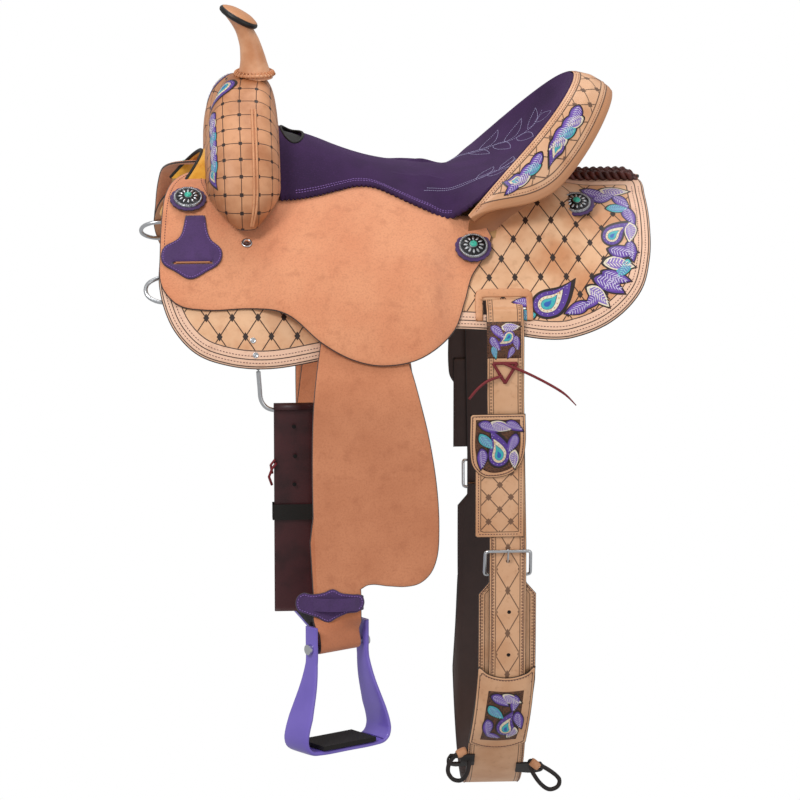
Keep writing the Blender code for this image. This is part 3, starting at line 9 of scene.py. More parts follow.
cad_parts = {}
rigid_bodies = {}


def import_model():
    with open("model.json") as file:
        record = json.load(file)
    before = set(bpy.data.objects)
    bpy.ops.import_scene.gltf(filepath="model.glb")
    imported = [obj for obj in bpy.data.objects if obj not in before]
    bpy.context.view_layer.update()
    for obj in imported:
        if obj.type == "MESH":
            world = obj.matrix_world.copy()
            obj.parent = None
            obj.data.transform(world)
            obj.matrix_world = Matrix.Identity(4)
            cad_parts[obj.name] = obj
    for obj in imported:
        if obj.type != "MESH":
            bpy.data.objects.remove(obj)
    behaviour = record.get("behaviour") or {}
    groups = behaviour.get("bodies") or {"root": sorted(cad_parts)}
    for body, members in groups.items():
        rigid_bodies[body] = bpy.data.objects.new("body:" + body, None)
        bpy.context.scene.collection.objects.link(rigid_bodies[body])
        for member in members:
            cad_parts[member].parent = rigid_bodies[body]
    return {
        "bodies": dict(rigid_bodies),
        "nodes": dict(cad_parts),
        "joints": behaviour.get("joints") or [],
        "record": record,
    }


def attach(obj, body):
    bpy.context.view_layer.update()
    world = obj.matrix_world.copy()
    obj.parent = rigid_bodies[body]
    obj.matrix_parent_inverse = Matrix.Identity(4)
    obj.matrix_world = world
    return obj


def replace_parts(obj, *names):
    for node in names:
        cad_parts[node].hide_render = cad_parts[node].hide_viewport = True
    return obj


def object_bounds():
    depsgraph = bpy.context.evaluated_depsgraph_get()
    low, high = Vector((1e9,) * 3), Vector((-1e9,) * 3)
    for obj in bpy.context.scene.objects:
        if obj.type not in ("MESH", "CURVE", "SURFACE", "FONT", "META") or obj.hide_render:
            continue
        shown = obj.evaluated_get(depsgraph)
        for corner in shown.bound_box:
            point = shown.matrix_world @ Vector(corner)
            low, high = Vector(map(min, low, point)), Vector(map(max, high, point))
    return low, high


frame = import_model()
size_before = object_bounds()


# Tree: rawhide-covered wood, seen only from below and through the gullet. It is the CAD's own
# solids. The material tools come first, because every piece uses them.


class Value:
    """A value in a material's nodes that reckons like a number."""

    def __init__(self, look, socket):
        self.look, self.socket = look, socket

    def math(self, kind, *others):
        return self.look.node("Math", (self, *others), operation=kind)

    def __add__(self, other):
        return self.math("ADD", other)

    def __sub__(self, other):
        return self.math("SUBTRACT", other)

    def __rsub__(self, other):
        return self.look.node("Math", (other, self), operation="SUBTRACT")

    def __mul__(self, other):
        return self.math("MULTIPLY", other)

    def __truediv__(self, other):
        return self.math("DIVIDE", other)

    __radd__ = __add__
    __rmul__ = __mul__

    def step(self, low, high):
        """0 up to low and 1 from high, smooth between. High may be the lower of the two."""
        return self.look.node("MapRange", (self, low, high), interpolation_type="SMOOTHSTEP")


def rgb(code):
    """A colour written as on a screen, as the light that it stands for."""
    if not isinstance(code, str):
        return code
    parts = [int(code[i:i + 2], 16) / 255 for i in (1, 3, 5)]
    return (*[c / 12.92 if c < 0.04 else ((c + 0.055) / 1.055) ** 2.4 for c in parts], 1.0)


class Look:
    """A material on the standard surface shader."""

    def __init__(self, name, **constants):
        self.material = bpy.data.materials.new(name)
        self.material.use_nodes = True
        self.tree = self.material.node_tree
        self.shader = self.tree.nodes["Principled BSDF"]
        self.put(**constants)

    def put(self, **values):
        for key, value in values.items():
            socket = self.shader.inputs[key.replace("_", " ")]
            if isinstance(value, Value):
                self.tree.links.new(value.socket, socket)
            else:
                socket.default_value = rgb(value)
        return self

    def node(self, kind, inputs=(), output=0, **settings):
        made = self.tree.nodes.new("ShaderNode" + kind)
        for key, value in settings.items():
            setattr(made, key, value)
        for key, value in inputs.items() if isinstance(inputs, dict) else enumerate(inputs):
            if isinstance(value, Value):
                self.tree.links.new(value.socket, made.inputs[key])
            else:
                made.inputs[key].default_value = value
        return Value(self, made.outputs[output])

    def mix(self, share, first, second):
        return self.node("Mix", {0: share, 6: rgb(first), 7: rgb(second)}, output=2, data_type="RGBA")

    def noise(self, scale, detail=3.0, stretch=(1, 1, 1)):
        place = self.node("TexCoord", output="Object")
        place = self.node("VectorMath", (place, stretch), operation="MULTIPLY")
        return self.node("TexNoise", {"Vector": place, "Scale": scale, "Detail": detail}, output="Fac")

    def attribute(self, name, output="Fac"):
        return self.node("Attribute", output=output, attribute_name=name)

    def pattern(self):
        """The two places on the flat leather, in metres."""
        uv = self.node("UVMap", uv_map="pattern")
        return self.node("SeparateXYZ", (uv,), output=0), self.node("SeparateXYZ", (uv,), output=1)

    def raised(self, height, strength=1.0):
        bump = self.node("Bump", {"Height": height, "Strength": strength, "Distance": 1.0},
                         output="Normal")
        return self.put(Normal=bump)


def grained(name, light, deep, scale, low, high, fine=500, depth=0.0, detail=3.0, **constants):
    """A finish that drifts between two colours, with fine pores of a depth in metres."""
    look = Look(name, **constants)
    look.put(Base_Color=look.mix(look.noise(scale, detail).step(low, high), light, deep))
    if depth:
        look.raised(look.noise(fine) * depth)
    return look


wood = Look("rawhide_wood", Roughness=0.75)
grain = wood.noise(40, stretch=(0.2, 1, 1))
wood.put(Base_Color=wood.mix(grain.step(0.35, 0.7), "#B98E5E", "#8F6438"))
for name in ("tree_bar_left", "tree_bar_right", "fork", "ground_seat", "cantle_board"):
    frame["nodes"][name].data.materials.clear()
    frame["nodes"][name].data.materials.append(wood.material)


# Skirt linings: thick woven fleece under both skirts, cut 4 mm inside the skirt's edge and
# notched for the breast collar dee. The tools that lay flat leather on the saddle's side
# start here.

RIDGE = math.radians(12)
ROUND = 0.300


def on_saddle(x, s, h):
    """Near side of the saddle: s down from the ridge along an arc, h out from the stand."""
    angle = RIDGE + s / ROUND
    out = ROUND * (np.sin(angle) - math.sin(RIDGE)) + h * np.sin(angle)
    up = ROUND * (np.cos(angle) - math.cos(RIDGE)) + h * np.cos(angle)
    return np.stack(np.broadcast_arrays(x, -out, up), -1)


def smooth_line(points, closed=True, step=0.0018):
    """A smooth line through (x, s) places. A place with a third item is a corner."""
    places = np.array([p[:2] for p in points], float)
    count = len(places)
    pieces = []

    def heading(i, a, b):
        if len(points[i]) > 2 or (not closed and i in (0, count - 1)):
            return (b - a) / np.linalg.norm(b - a)
        before, after = places[i] - places[i - 1], places[(i + 1) % count] - places[i]
        way = before / np.linalg.norm(before) + after / np.linalg.norm(after)
        return way / np.linalg.norm(way)

    for i in range(count if closed else count - 1):
        a, b = places[i], places[(i + 1) % count]
        span = np.linalg.norm(b - a)
        t = np.arange(0, 1, min(1, step / span))[:, None]
        first, last = heading(i, a, b) * span, heading((i + 1) % count, a, b) * span
        pieces.append((2 * t**3 - 3 * t**2 + 1) * a + (t**3 - 2 * t**2 + t) * first
                      + (3 * t**2 - 2 * t**3) * b + (t**3 - t**2) * last)
    if not closed:
        pieces.append(places[-1:])
    return np.vstack(pieces)


def distances(places, loops):
    """How far flat places are from the nearest of some closed lines."""
    found = np.full(len(places), 1e9)
    for line in loops:
        a, b = line, np.roll(line, -1, 0)
        along = b - a
        size = np.maximum((along**2).sum(1), 1e-18)
        for start in range(0, len(places), 1500):
            p = places[start:start + 1500, None]
            t = np.clip(((p - a) * along).sum(2) / size, 0, 1)
            gap = np.sqrt((((a + along * t[..., None]) - p)**2).sum(2)).min(1)
            found[start:start + 1500] = np.minimum(found[start:start + 1500], gap)
    return found


def inside(places, loops):
    """Whether flat places are inside an odd number of closed lines."""
    odd = np.zeros(len(places), bool)
    for line in loops:
        a, b = line, np.roll(line, -1, 0)
        for start in range(0, len(places), 1500):
            x, y = places[start:start + 1500, 0, None], places[start:start + 1500, 1, None]
            spans = (a[:, 1] > y) != (b[:, 1] > y)
            rise = np.where(b[:, 1] == a[:, 1], 1, b[:, 1] - a[:, 1])
            cross = a[:, 0] + (y - a[:, 1]) / rise * (b[:, 0] - a[:, 0])
            odd[start:start + 1500] ^= (spans & (x < cross)).sum(1) % 2 == 1
    return odd


def sheet(outline, place, level, thickness, holes=(), spacing=0.005, edge=0.0020):
    """A sheet of leather with rounded edges, cut to a flat outline and laid by place."""
    loops = [outline, *holes]
    low, high = outline.min(0), outline.max(0)
    xs, ss = np.meshgrid(np.arange(low[0], high[0], spacing), np.arange(low[1], high[1], spacing))
    xs[::2] += spacing / 2
    kinds = [(np.stack([xs.ravel(), ss.ravel()], 1), edge + spacing * 0.5)]
    for line in loops:
        way = np.roll(line, -1, 0) - np.roll(line, 1, 0)
        way = np.stack([-way[:, 1], way[:, 0]], 1) / np.linalg.norm(way, axis=1)[:, None]
        for depth in (edge * 0.3, edge):
            kinds += [(line[::2] + way[::2] * depth, depth * 0.95),
                      (line[::2] - way[::2] * depth, depth * 0.95)]
    kept = [p[inside(p, loops)] for p, _ in kinds]
    kept = [p[distances(p, loops) > depth] for p, (_, depth) in zip(kept, kinds)]
    flat, edges, start = np.vstack(loops + kept), [], 0
    for line in loops:
        edges += [(start + i, start + (i + 1) % len(line)) for i in range(len(line))]
        start += len(line)
    found = delaunay_2d_cdt([Vector(p) for p in flat], edges, [], 0, 1e-7)
    flat, faces = np.array(found[0]), np.array(found[2])
    faces = faces[inside(flat[faces].mean(1), loops)]
    first, second = flat[faces[:, 1]] - flat[faces[:, 0]], flat[faces[:, 2]] - flat[faces[:, 0]]
    back = first[:, 0] * second[:, 1] < first[:, 1] * second[:, 0]
    faces[back] = faces[back][:, ::-1]
    depth, rim_gap = distances(flat, loops), distances(flat, [outline])
    rise = np.sqrt(1 - (1 - np.minimum(depth / edge, 1))**2)
    base = level(flat[:, 0], flat[:, 1]) if callable(level) else level
    top = place(flat[:, 0], flat[:, 1], base + thickness / 2 * (1 + rise))
    below = place(flat[:, 0], flat[:, 1], base + thickness / 2 * (1 - rise))
    under = np.where(depth < 1e-6, np.arange(len(flat)), np.arange(len(flat)) + len(flat))
    return {"points": np.vstack([top, below]), "faces": [faces[:, ::-1], under[faces]],
            "uv": np.vstack([flat, flat]), "edge": np.concatenate([rim_gap, -rim_gap])}


def mirrored(made):
    """The same shape on the other side of the saddle."""
    return dict(made, points=made["points"] * (1, -1, 1), faces=[f[:, ::-1] for f in made["faces"]])


def add(name, made, look, body, node, mirror=False, replaces=True):
    """Puts a shape in the scene: it rides a body and stands for a CAD node or adds to it."""
    if mirror:
        made = mirrored(made)
    points, faces = made["points"], made["faces"]
    mesh = bpy.data.meshes.new(name)
    corners = np.concatenate([f.ravel() for f in faces]).astype(np.int32)
    sizes = np.concatenate([np.full(len(f), f.shape[1]) for f in faces])
    mesh.vertices.add(len(points))
    mesh.vertices.foreach_set("co", points.astype(np.float32).ravel())
    mesh.loops.add(len(corners))
    mesh.loops.foreach_set("vertex_index", corners)
    mesh.polygons.add(len(sizes))
    mesh.polygons.foreach_set("loop_start", (np.cumsum(sizes) - sizes).astype(np.int32))
    if "uv" in made:
        layer = mesh.uv_layers.new(name="pattern")
        layer.data.foreach_set("uv", made["uv"][corners].astype(np.float32).ravel())
    if "edge" in made:
        attribute = mesh.attributes.new("edge", "FLOAT", "POINT")
        attribute.data.foreach_set("value", made["edge"].astype(np.float32))
    if "paint" in made:
        attribute = mesh.attributes.new("paint", "FLOAT_COLOR", "POINT")
        attribute.data.foreach_set("color", made["paint"].astype(np.float32).ravel())
    mesh.update(calc_edges=True)
    mesh.validate()
    mesh.shade_smooth()
    mesh.materials.append(look.material)
    obj = bpy.data.objects.new(name, mesh)
    bpy.context.scene.collection.objects.link(obj)
    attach(obj, body)
    if replaces:
        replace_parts(obj, node)
    return obj


def pair(node, word, made, look, body="saddle", replaces=True):
    """The near piece and its mirrored copy. A body's name may hold the word side."""
    for side in ("left", "right"):
        add(f"{node}_{side}_{word}", made, look, body.replace("side", side), f"{node}_{side}",
            mirror=side == "right", replaces=replaces)


fleece = Look("yellow_fleece", Roughness=0.95, Sheen_Weight=0.4)
tufts = fleece.noise(900, 4.0)
fleece.put(Base_Color=fleece.mix(fleece.noise(60).step(0.3, 0.7), "#F5B53F", "#E19A22"))
fleece.raised(tufts * 0.0008)

lining = smooth_line([
    (0.314, 0.004, 1), (0.325, 0.050), (0.327, 0.110), (0.323, 0.163), (0.309, 0.208), (0.271, 0.247),
    (0.219, 0.269), (0.190, 0.271), (0.101, 0.258), (0.020, 0.258), (-0.060, 0.280), (-0.124, 0.295),
    (-0.192, 0.303), (-0.242, 0.299), (-0.281, 0.284), (-0.305, 0.262), (-0.316, 0.242, 1),
    (-0.298, 0.234, 1), (-0.298, 0.161, 1), (-0.3245, 0.155, 1), (-0.322, 0.138), (-0.308, 0.095),
    (-0.294, 0.068, 1), (-0.200, 0.062, 1), (-0.150, 0.024, 1), (0.120, 0.014, 1), (0.200, 0.004, 1)])
slot_hole = smooth_line([(0.094, 0.215, 1), (0.094, 0.247, 1), (0.163, 0.247, 1), (0.163, 0.215, 1)])
pair("lining", "fleece", sheet(lining, on_saddle, 0.0003, 0.0096, [slot_hole], 0.008, 0.004), fleece)


# Skirts: heavy russet leather with a burnished black edge, two stitch rows in a raised border
# and a tooled lattice of diamonds, each crossing marked with a stamped flower.


def fraction(value):
    return value.math("FRACT")


def lattice(u, v, wide, tall, u0=0.0, v0=0.0):
    """Lines and crossings of a diamond lattice, each as a share from 0 to 1."""
    p = (u - u0) / wide + (v - v0) / tall
    q = (u - u0) / wide - (v - v0) / tall
    slope = 1 / math.sqrt(1 / wide**2 + 1 / tall**2)
    first = (fraction(p + 100.5) - 0.5).math("ABSOLUTE") * slope
    second = (fraction(q + 100.5) - 0.5).math("ABSOLUTE") * slope
    near = first.math("MINIMUM", second)
    far = first.math("MAXIMUM", second)
    return near.step(0.0010, 0.0003), far.step(0.0036, 0.0028)


def tooled(name, field_from, wide, tall, u0=0.0, v0=0.0, grooves=(), turned=False, dark=0.0014,
           light="#E9B990", deep="#CF8F62"):
    """Russet leather. The lattice starts at field_from inside the edge."""
    look = Look(name, Roughness=0.5)
    u, v = look.pattern()
    edge = look.attribute("edge")
    lines, dots = lattice(u + v if turned else u, v - u if turned else v, wide, tall, u0, v0)
    field = edge.step(field_from, field_from + 0.001)
    cut = (lines * field).math("MAXIMUM", dots * field)
    for depth in grooves:
        cut = cut.math("MAXIMUM", (edge - depth).math("ABSOLUTE").step(0.0009, 0.0003))
    stain = look.noise(16, 5.0).step(0.35, 0.7)
    base = look.mix(stain, light, deep)
    base = look.mix(field, "#EDC2A6", base) if grooves else base
    base = look.mix(look.noise(90, 5.0).step(0.5, 0.8) * 0.3, base, "#A5663C")
    base = look.mix(cut, base, "#3A2219")
    base = look.mix(dots * field, base, "#2C1911")
    base = look.mix(edge.step(-0.0006, -0.0012), base, "#C48C66")
    base = look.mix(edge.math("ABSOLUTE").step(dark, dark - 0.0006), base, "#17100D")
    look.put(Base_Color=base, Roughness=0.42 + look.noise(90) * 0.2)
    return look.raised(look.noise(700) * 0.00006 - cut * 0.0006)


def inset(outline, depth):
    """The line at a depth inside a closed outline, as runs without the loops of tight bends."""
    way = np.roll(outline, -1, 0) - np.roll(outline, 1, 0)
    way = np.stack([-way[:, 1], way[:, 0]], 1) / np.linalg.norm(way, axis=1)[:, None]
    moved = outline + way * depth
    if inside(moved, [outline]).mean() < 0.5:
        moved = outline - way * depth
    return part(np.vstack([moved, moved[:1]]),
                distances(np.vstack([moved, moved[:1]]), [outline]) > depth * 0.97)


def part(line, wanted):
    """The runs of a line where wanted is true."""
    marks = np.flatnonzero(np.diff(np.concatenate([[0], wanted.astype(int), [0]])))
    return [line[a:b] for a, b in zip(marks[::2], marks[1::2]) if b - a > 3]


def where(runs, test):
    """The runs' parts whose places (x, s) pass the test."""
    return [piece for run in runs for piece in part(run, test(run[:, 0], run[:, 1]))]


def unit(v):
    return v / np.maximum(np.linalg.norm(v, axis=-1, keepdims=True), 1e-12)


def grid_faces(rows, columns, wrap=False, groups=1):
    """Four-sided faces of grids of points, one after another."""
    index = np.arange(rows * columns).reshape(rows, columns)
    if wrap:
        index = np.hstack([index, index[:, :1]])
    faces = np.stack([index[:-1, :-1], index[:-1, 1:], index[1:, 1:], index[1:, :-1]], -1).reshape(-1, 4)
    starts = np.arange(groups) * rows * columns
    return (faces[None] + starts[:, None, None]).reshape(-1, 4)


def circle(count):
    """Angles all the way round, evenly spaced."""
    return np.linspace(0, 2 * np.pi, count + 1)[:-1]


def stitches(surface, runs, pitch=0.0042, share=0.66, thick=0.00050, sink=0.25, lean=0.0):
    """Thread laid in short stitches along flat runs. surface gives points at a height."""
    starts, ends = [], []
    for run in runs:
        steps = np.linalg.norm(np.diff(surface(run[:, 0], run[:, 1], 0.0), axis=0), axis=1)
        length = np.concatenate([[0], np.cumsum(steps)])
        at = np.arange(0, length[-1] - pitch, pitch)
        for group, shift in ((starts, 0), (ends, pitch * share)):
            group.append(np.stack([np.interp(at + shift, length, run[:, k]) for k in (0, 1)], 1))
    if not starts:
        return None
    a, b = np.vstack(starts), np.vstack(ends)
    way = unit(b - a)
    b = b + np.stack([-way[:, 1], way[:, 0]], 1) * lean
    first, last = surface(a[:, 0], a[:, 1], thick * sink), surface(b[:, 0], b[:, 1], thick * sink)
    out = unit(surface(a[:, 0], a[:, 1], 0.001) - surface(a[:, 0], a[:, 1], 0.0))
    side = unit(np.cross(out, last - first))
    t = np.array([0, 0.14, 0.5, 0.86, 1])[None, :, None, None]
    r = np.array([0.15, 0.85, 1, 0.85, 0.15])[None, :, None, None] * thick
    turn = circle(6)[None, None, :, None]
    points = first[:, None, None] * (1 - t) + last[:, None, None] * t
    points = points + r * (np.cos(turn) * side[:, None, None] + np.sin(turn) * out[:, None, None])
    return {"points": points.reshape(-1, 3), "faces": [grid_faces(5, 6, True, len(a))]}


skirt = smooth_line([
    (0.318, 0.004, 1), (0.3245, 0.010), (0.329, 0.050), (0.331, 0.110), (0.327, 0.165), (0.313, 0.211),
    (0.274, 0.251), (0.219, 0.273), (0.190, 0.275), (0.101, 0.262), (0.020, 0.262), (-0.060, 0.284),
    (-0.124, 0.299), (-0.192, 0.308), (-0.242, 0.303), (-0.283, 0.288), (-0.312, 0.258),
    (-0.327, 0.222), (-0.332, 0.185), (-0.326, 0.140), (-0.312, 0.095), (-0.298, 0.066, 1),
    (-0.200, 0.060, 1), (-0.150, 0.022, 1), (0.120, 0.014, 1), (0.200, 0.004, 1)])
billet_hole = smooth_line([(0.100, 0.2215, 1), (0.100, 0.2405, 1), (0.157, 0.2405, 1),
                           (0.157, 0.2215, 1)])
skirt_leather = tooled("skirt_leather", 0.0235, 0.0345, 0.0503, 0.127, 0.115, (0.0030, 0.0120, 0.0232))


def bar_height(x, s):
    middle = np.interp(s, (0.03, 0.08, 0.15, 0.1675), (0.003, 0.019, 0.003, 0))
    front = np.interp(s, (0.08, 0.15, 0.1675), (0.022, 0.003, 0))
    return middle + (front - middle) * np.interp(x, (-0.20, -0.16), (1, 0))


def skirt_level(x, s):
    """The skirt lies flat, but behind the jockey it goes over the rear of the tree bar."""
    around = [(a, b) for a in (-0.012, 0, 0.012) for b in (-0.012, -0.006, 0, 0.006, 0.012)]
    lift = [(bar_height(x, s + b) + 0.0062 * np.interp(s + b, (0.015, 0.03, 0.165, 0.185), (0, 1, 1, 0)))
            * np.interp(x + a, (0.108, 0.130, 0.212, 0.246), (0, 1, 1, 0)) for a, b in around]
    return 0.0103 + sum(lift) / len(lift)


pair("skirt", "leather", sheet(skirt, on_saddle, skirt_level, 0.0050, [billet_hole]), skirt_leather)


def on_skirt(x, s, h):
    return on_saddle(x, s, skirt_level(x, s) + 0.0050 + h)


dark_thread = Look("dark_thread", Roughness=0.7, Base_Color="#5A2E3A")
border = [run for depth in (0.0075, 0.0165) for run in inset(skirt, depth)]
border = where(border, lambda x, s: (s > 0.03) & ((x > 0.05) | (s > 0.2)))
pair("skirt", "stitches", stitches(on_skirt, border), dark_thread, replaces=False)


# Jockeys: rough-out leather, flesh side up, lying over the bars and the tops of the fenders.
# Their edge is bare and dark, with one row of stitches along the front.


def exact_jockey_level(x, s):
    rest = 0.0159 + bar_height(x, s)
    lifted = 0.0159 + np.interp(s, (0.08, 0.15, 0.185), (0.019, 0.015, 0.017))
    share = np.interp(x, (-0.205, -0.170, 0.030, 0.062), (0, 1, 1, 0))
    return rest + (np.maximum(lifted, rest) - rest) * share


def jockey_level(x, s):
    """The jockey's underside, with the creases of the tree's edges eased."""
    around = [(a, b) for a in (-0.008, 0, 0.008) for b in (-0.010, -0.005, 0, 0.005, 0.010)]
    return sum(exact_jockey_level(x + a, s + b) for a, b in around) / len(around)


def on_jockey(x, s, h):
    return on_saddle(x, s, jockey_level(x, s) + 0.0040 + h)


def roughout(name, light, deep, dark=0.0010, pit="#A85F3B", fuzz="#F3B795"):
    look = Look(name, Roughness=0.92, Sheen_Weight=0.25, Sheen_Roughness=0.6)
    edge = look.attribute("edge")
    nap = look.noise(420, 5.0)
    base = look.mix(look.noise(14).step(0.3, 0.75), light, deep)
    base = look.mix(nap.step(0.42, 0.75) * 0.3, base, pit)
    base = look.mix(look.noise(60, 6.0).step(0.5, 0.75) * 0.3, base, pit)
    base = look.mix(look.noise(1300).step(0.6, 0.8) * 0.25, base, fuzz)
    base = look.mix(edge.math("ABSOLUTE").step(dark, dark - 0.0005), base, "#2A1712")
    look.put(Base_Color=base)
    return look.raised(nap * 0.0005 + look.noise(1500) * 0.0002)


jockey = smooth_line([
    (-0.290, 0.024), (-0.309, 0.042), (-0.3205, 0.070), (-0.327, 0.110), (-0.330, 0.155),
    (-0.3305, 0.190), (-0.325, 0.206), (-0.306, 0.225), (-0.270, 0.232), (-0.201, 0.232),
    (-0.161, 0.245), (-0.117, 0.280), (-0.075, 0.301), (-0.035, 0.308), (0.018, 0.298), (0.060, 0.264),
    (0.076, 0.225), (0.087, 0.190), (0.104, 0.163), (0.116, 0.135, 1), (0.100, 0.109), (0.060, 0.103),
    (0.025, 0.093), (0.000, 0.077), (-0.026, 0.060), (-0.045, 0.051), (-0.060, 0.050), (-0.087, 0.058),
    (-0.113, 0.067), (-0.162, 0.072), (-0.180, 0.082), (-0.215, 0.087), (-0.250, 0.080),
    (-0.264, 0.050), (-0.270, 0.018)])
jockey_leather = roughout("jockey_roughout", "#E2996F", "#D98B62", 0.0014)
pair("jockey", "leather", sheet(jockey, on_saddle, jockey_level, 0.0040), jockey_leather)
row = where(inset(jockey, 0.0062), lambda x, s: (x < -0.26) & (s < 0.17))
pair("jockey", "stitches", stitches(on_jockey, row), dark_thread, replaces=False)


# Swell: russet leather over the wooden fork, drawn tight and closed by a welted seam that runs
# over its widest line. The arch under it is lined with yellow fleece.


def ring_tools(angle):
    """Radius, front and rear of the swell at an angle from upright."""
    degrees = np.abs(np.degrees(angle))

    def ease(turns, values):
        around = [np.interp(degrees + k, turns, values) for k in (-6, -3, 0, 3, 6)]
        return sum(around) / 5

    tip = 1 - np.clip((degrees - 70) / 26, 0, 1)**2.6 * 0.62
    outer = ease((0, 14, 28, 42, 56, 70, 82, 90, 97),
                 (0.168, 0.164, 0.156, 0.153, 0.157, 0.161, 0.163, 0.160, 0.151))
    front = ease((0, 14, 30, 78, 97), (-0.248, -0.262, -0.266, -0.265, -0.262))
    rear = ease((0, 14, 30, 78, 97), (-0.166, -0.165, -0.165, -0.165, -0.168))
    middle = (front + rear) / 2 + 0.004 * (1 - tip)
    return outer, middle + (front - middle) * tip, middle + (rear - middle) * tip


def on_swell(angle, turn, h):
    """angle goes round the gullet, turn from front (0) over the swell (pi / 2) to the rear."""
    outer, front, rear = ring_tools(angle)
    outer, front, rear = outer + h, front - h, rear + h
    across = -np.sign(np.cos(turn)) * np.abs(np.cos(turn))**0.62
    rise = np.maximum(np.sin(turn), 0)**0.62
    radius = 0.0635 + (outer - 0.0635) * rise
    x = (front + rear) / 2 + (rear - front) / 2 * across
    return np.stack([x, radius * np.sin(angle), -0.006 + radius * np.cos(angle)], -1)


angles = np.radians(np.linspace(-95, 95, 193))
turns = np.linspace(0, np.pi, 121)
turns = np.pi / 2 - np.pi / 2 * np.sign(np.cos(turns)) * np.abs(np.cos(turns))**0.9
angle_at, turn_at = np.meshgrid(angles, turns, indexing="ij")
points = on_swell(angle_at, turn_at, 0.0)
steps = np.linalg.norm(np.diff(points, axis=1), axis=2)
across = np.concatenate([np.zeros((len(angles), 1)), np.cumsum(steps, 1)], 1)
across = across - across[:, [len(turns) // 2]]
swell_uv = np.stack([across, angle_at * 0.150], -1)
from_axis = np.abs(points[..., 1]) + ROUND * math.sin(RIDGE)
over_axis = points[..., 2] + ROUND * math.cos(RIDGE)
under_it = jockey_level(points[..., 0], (np.arctan2(from_axis, over_axis) - RIDGE) * ROUND) + 0.004
above = np.hypot(from_axis, over_axis) - ROUND - under_it
ends = [np.arange(len(turns))[None], np.arange(len(turns))[None, ::-1] + (len(angles) - 1) * len(turns)]
swell = {"points": points.reshape(-1, 3), "faces": [grid_faces(*angle_at.shape), *ends],
         "uv": swell_uv.reshape(-1, 2), "edge": above.ravel()}
swell_leather = tooled("swell_leather", 0.006, 0.046, 0.046, 0.0, 0.010, (), True, 0.0035, "#D69A70",
                       "#A8683F")
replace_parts(add("swell_cover_leather", swell, swell_leather, "saddle", "swell_cover"), "fork")
gullet = np.stack([on_swell(angles, np.full_like(angles, t), 0.0) for t in (0.0, np.pi)])
gullet = {"points": gullet.reshape(-1, 3), "faces": [grid_faces(2, len(angles))]}
add("swell_gullet", gullet, wood, "saddle", "swell_cover", replaces=False)


def tube(path, radius, sides=10, closed=False, flat=1.0, out=None):
    """A round bar along points. radius may vary; flat squeezes it towards out."""
    path = np.asarray(path, float)
    if closed:
        way = unit(np.roll(path, -1, 0) - np.roll(path, 1, 0))
    else:
        way = unit(np.gradient(path, axis=0))
    if out is None:
        spare = np.array([0, 0, 1.0]) if np.abs(way[:, 2]).mean() < 0.8 else np.array([1.0, 0, 0])
        side = unit(np.cross(way, spare))
    else:
        side = unit(np.cross(way, out))
    up = np.cross(side, way)
    turn = circle(sides)[None, :, None]
    r = np.broadcast_to(radius, len(path))[:, None, None]
    points = path[:, None] + r * (np.cos(turn) * side[:, None] + flat * np.sin(turn) * up[:, None])
    rows = len(path)
    faces = grid_faces(rows, sides, True)
    if closed:
        last = (rows - 1) * sides
        i = np.arange(sides)
        j = (i + 1) % sides
        faces = np.vstack([faces, np.stack([last + i, last + j, j, i], 1)])
        caps = []
    else:
        caps = [np.arange(sides)[::-1][None], np.arange((rows - 1) * sides, rows * sides)[None]]
    return {"points": points.reshape(-1, 3), "faces": [faces, *caps]}


def join(shapes):
    """Several shapes as one."""
    shapes = [s for s in shapes if s]
    starts = np.cumsum([0] + [len(s["points"]) for s in shapes])
    made = {"points": np.vstack([s["points"] for s in shapes]),
            "faces": [f + start for s, start in zip(shapes, starts) for f in s["faces"]]}
    for key in ("uv", "edge", "paint"):
        if all(key in s for s in shapes):
            made[key] = np.concatenate([s[key] for s in shapes])
    return made


plain = Look("russet_leather", Roughness=0.5)
shade = plain.mix(plain.noise(25).step(0.35, 0.75), "#D99B70", "#BF7C50")
shade = plain.mix(plain.noise(300).step(0.5, 0.8) * 0.4, shade, "#9C6240")
plain.put(Base_Color=shade).raised(plain.noise(600) * 0.0001)

welt = []
for side in (-1, 1):
    run = np.radians(np.linspace(30, 93, 90)) * side
    for shift in (0.100, 0.165):
        welt.append(tube(on_swell(run, np.full_like(run, np.pi / 2 + shift), 0.0002), 0.0017, 8))
add("swell_cover_welt", join(welt), plain, "saddle", "swell_cover", replaces=False)

arch_angle = np.radians(np.linspace(-80, 80, 81))
shares = np.linspace(0, 1, 13)
angle_at, share_at = np.meshgrid(arch_angle, shares, indexing="ij")
front = -0.268 - 0.050 * (1 - np.cos(angle_at))
shells = []
for radius in (0.0627, 0.0585):
    x = front + (-0.190 - front) * share_at
    shells.append(np.stack([x, radius * np.sin(angle_at), -0.006 + radius * np.cos(angle_at)], -1))
arch_points = np.vstack([s.reshape(-1, 3) for s in shells])
first = grid_faces(*angle_at.shape)
rim = np.arange(len(arch_angle)) * len(shares)
lip = np.stack([rim[:-1], rim[1:], rim[1:] + angle_at.size, rim[:-1] + angle_at.size], 1)
arch = {"points": arch_points, "faces": [first, first[:, ::-1] + angle_at.size, lip]}
add("gullet_lining_fleece", arch, fleece, "saddle", "gullet_lining")
black = Look("black_edge_and_hole_shade", Roughness=0.6, Base_Color="#15100E")
lip_path = np.stack([front[:, 0] - 0.0008, 0.0610 * np.sin(arch_angle),
                     -0.006 + 0.0610 * np.cos(arch_angle)], 1)
add("gullet_lining_edge", tube(lip_path, 0.0026, 8), black, "saddle", "gullet_lining", replaces=False)


# Horn: a slim leather-wrapped neck that leans forward, stitched collar at its foot, and a flat
# cap tipped to the rider with a black rolled edge.


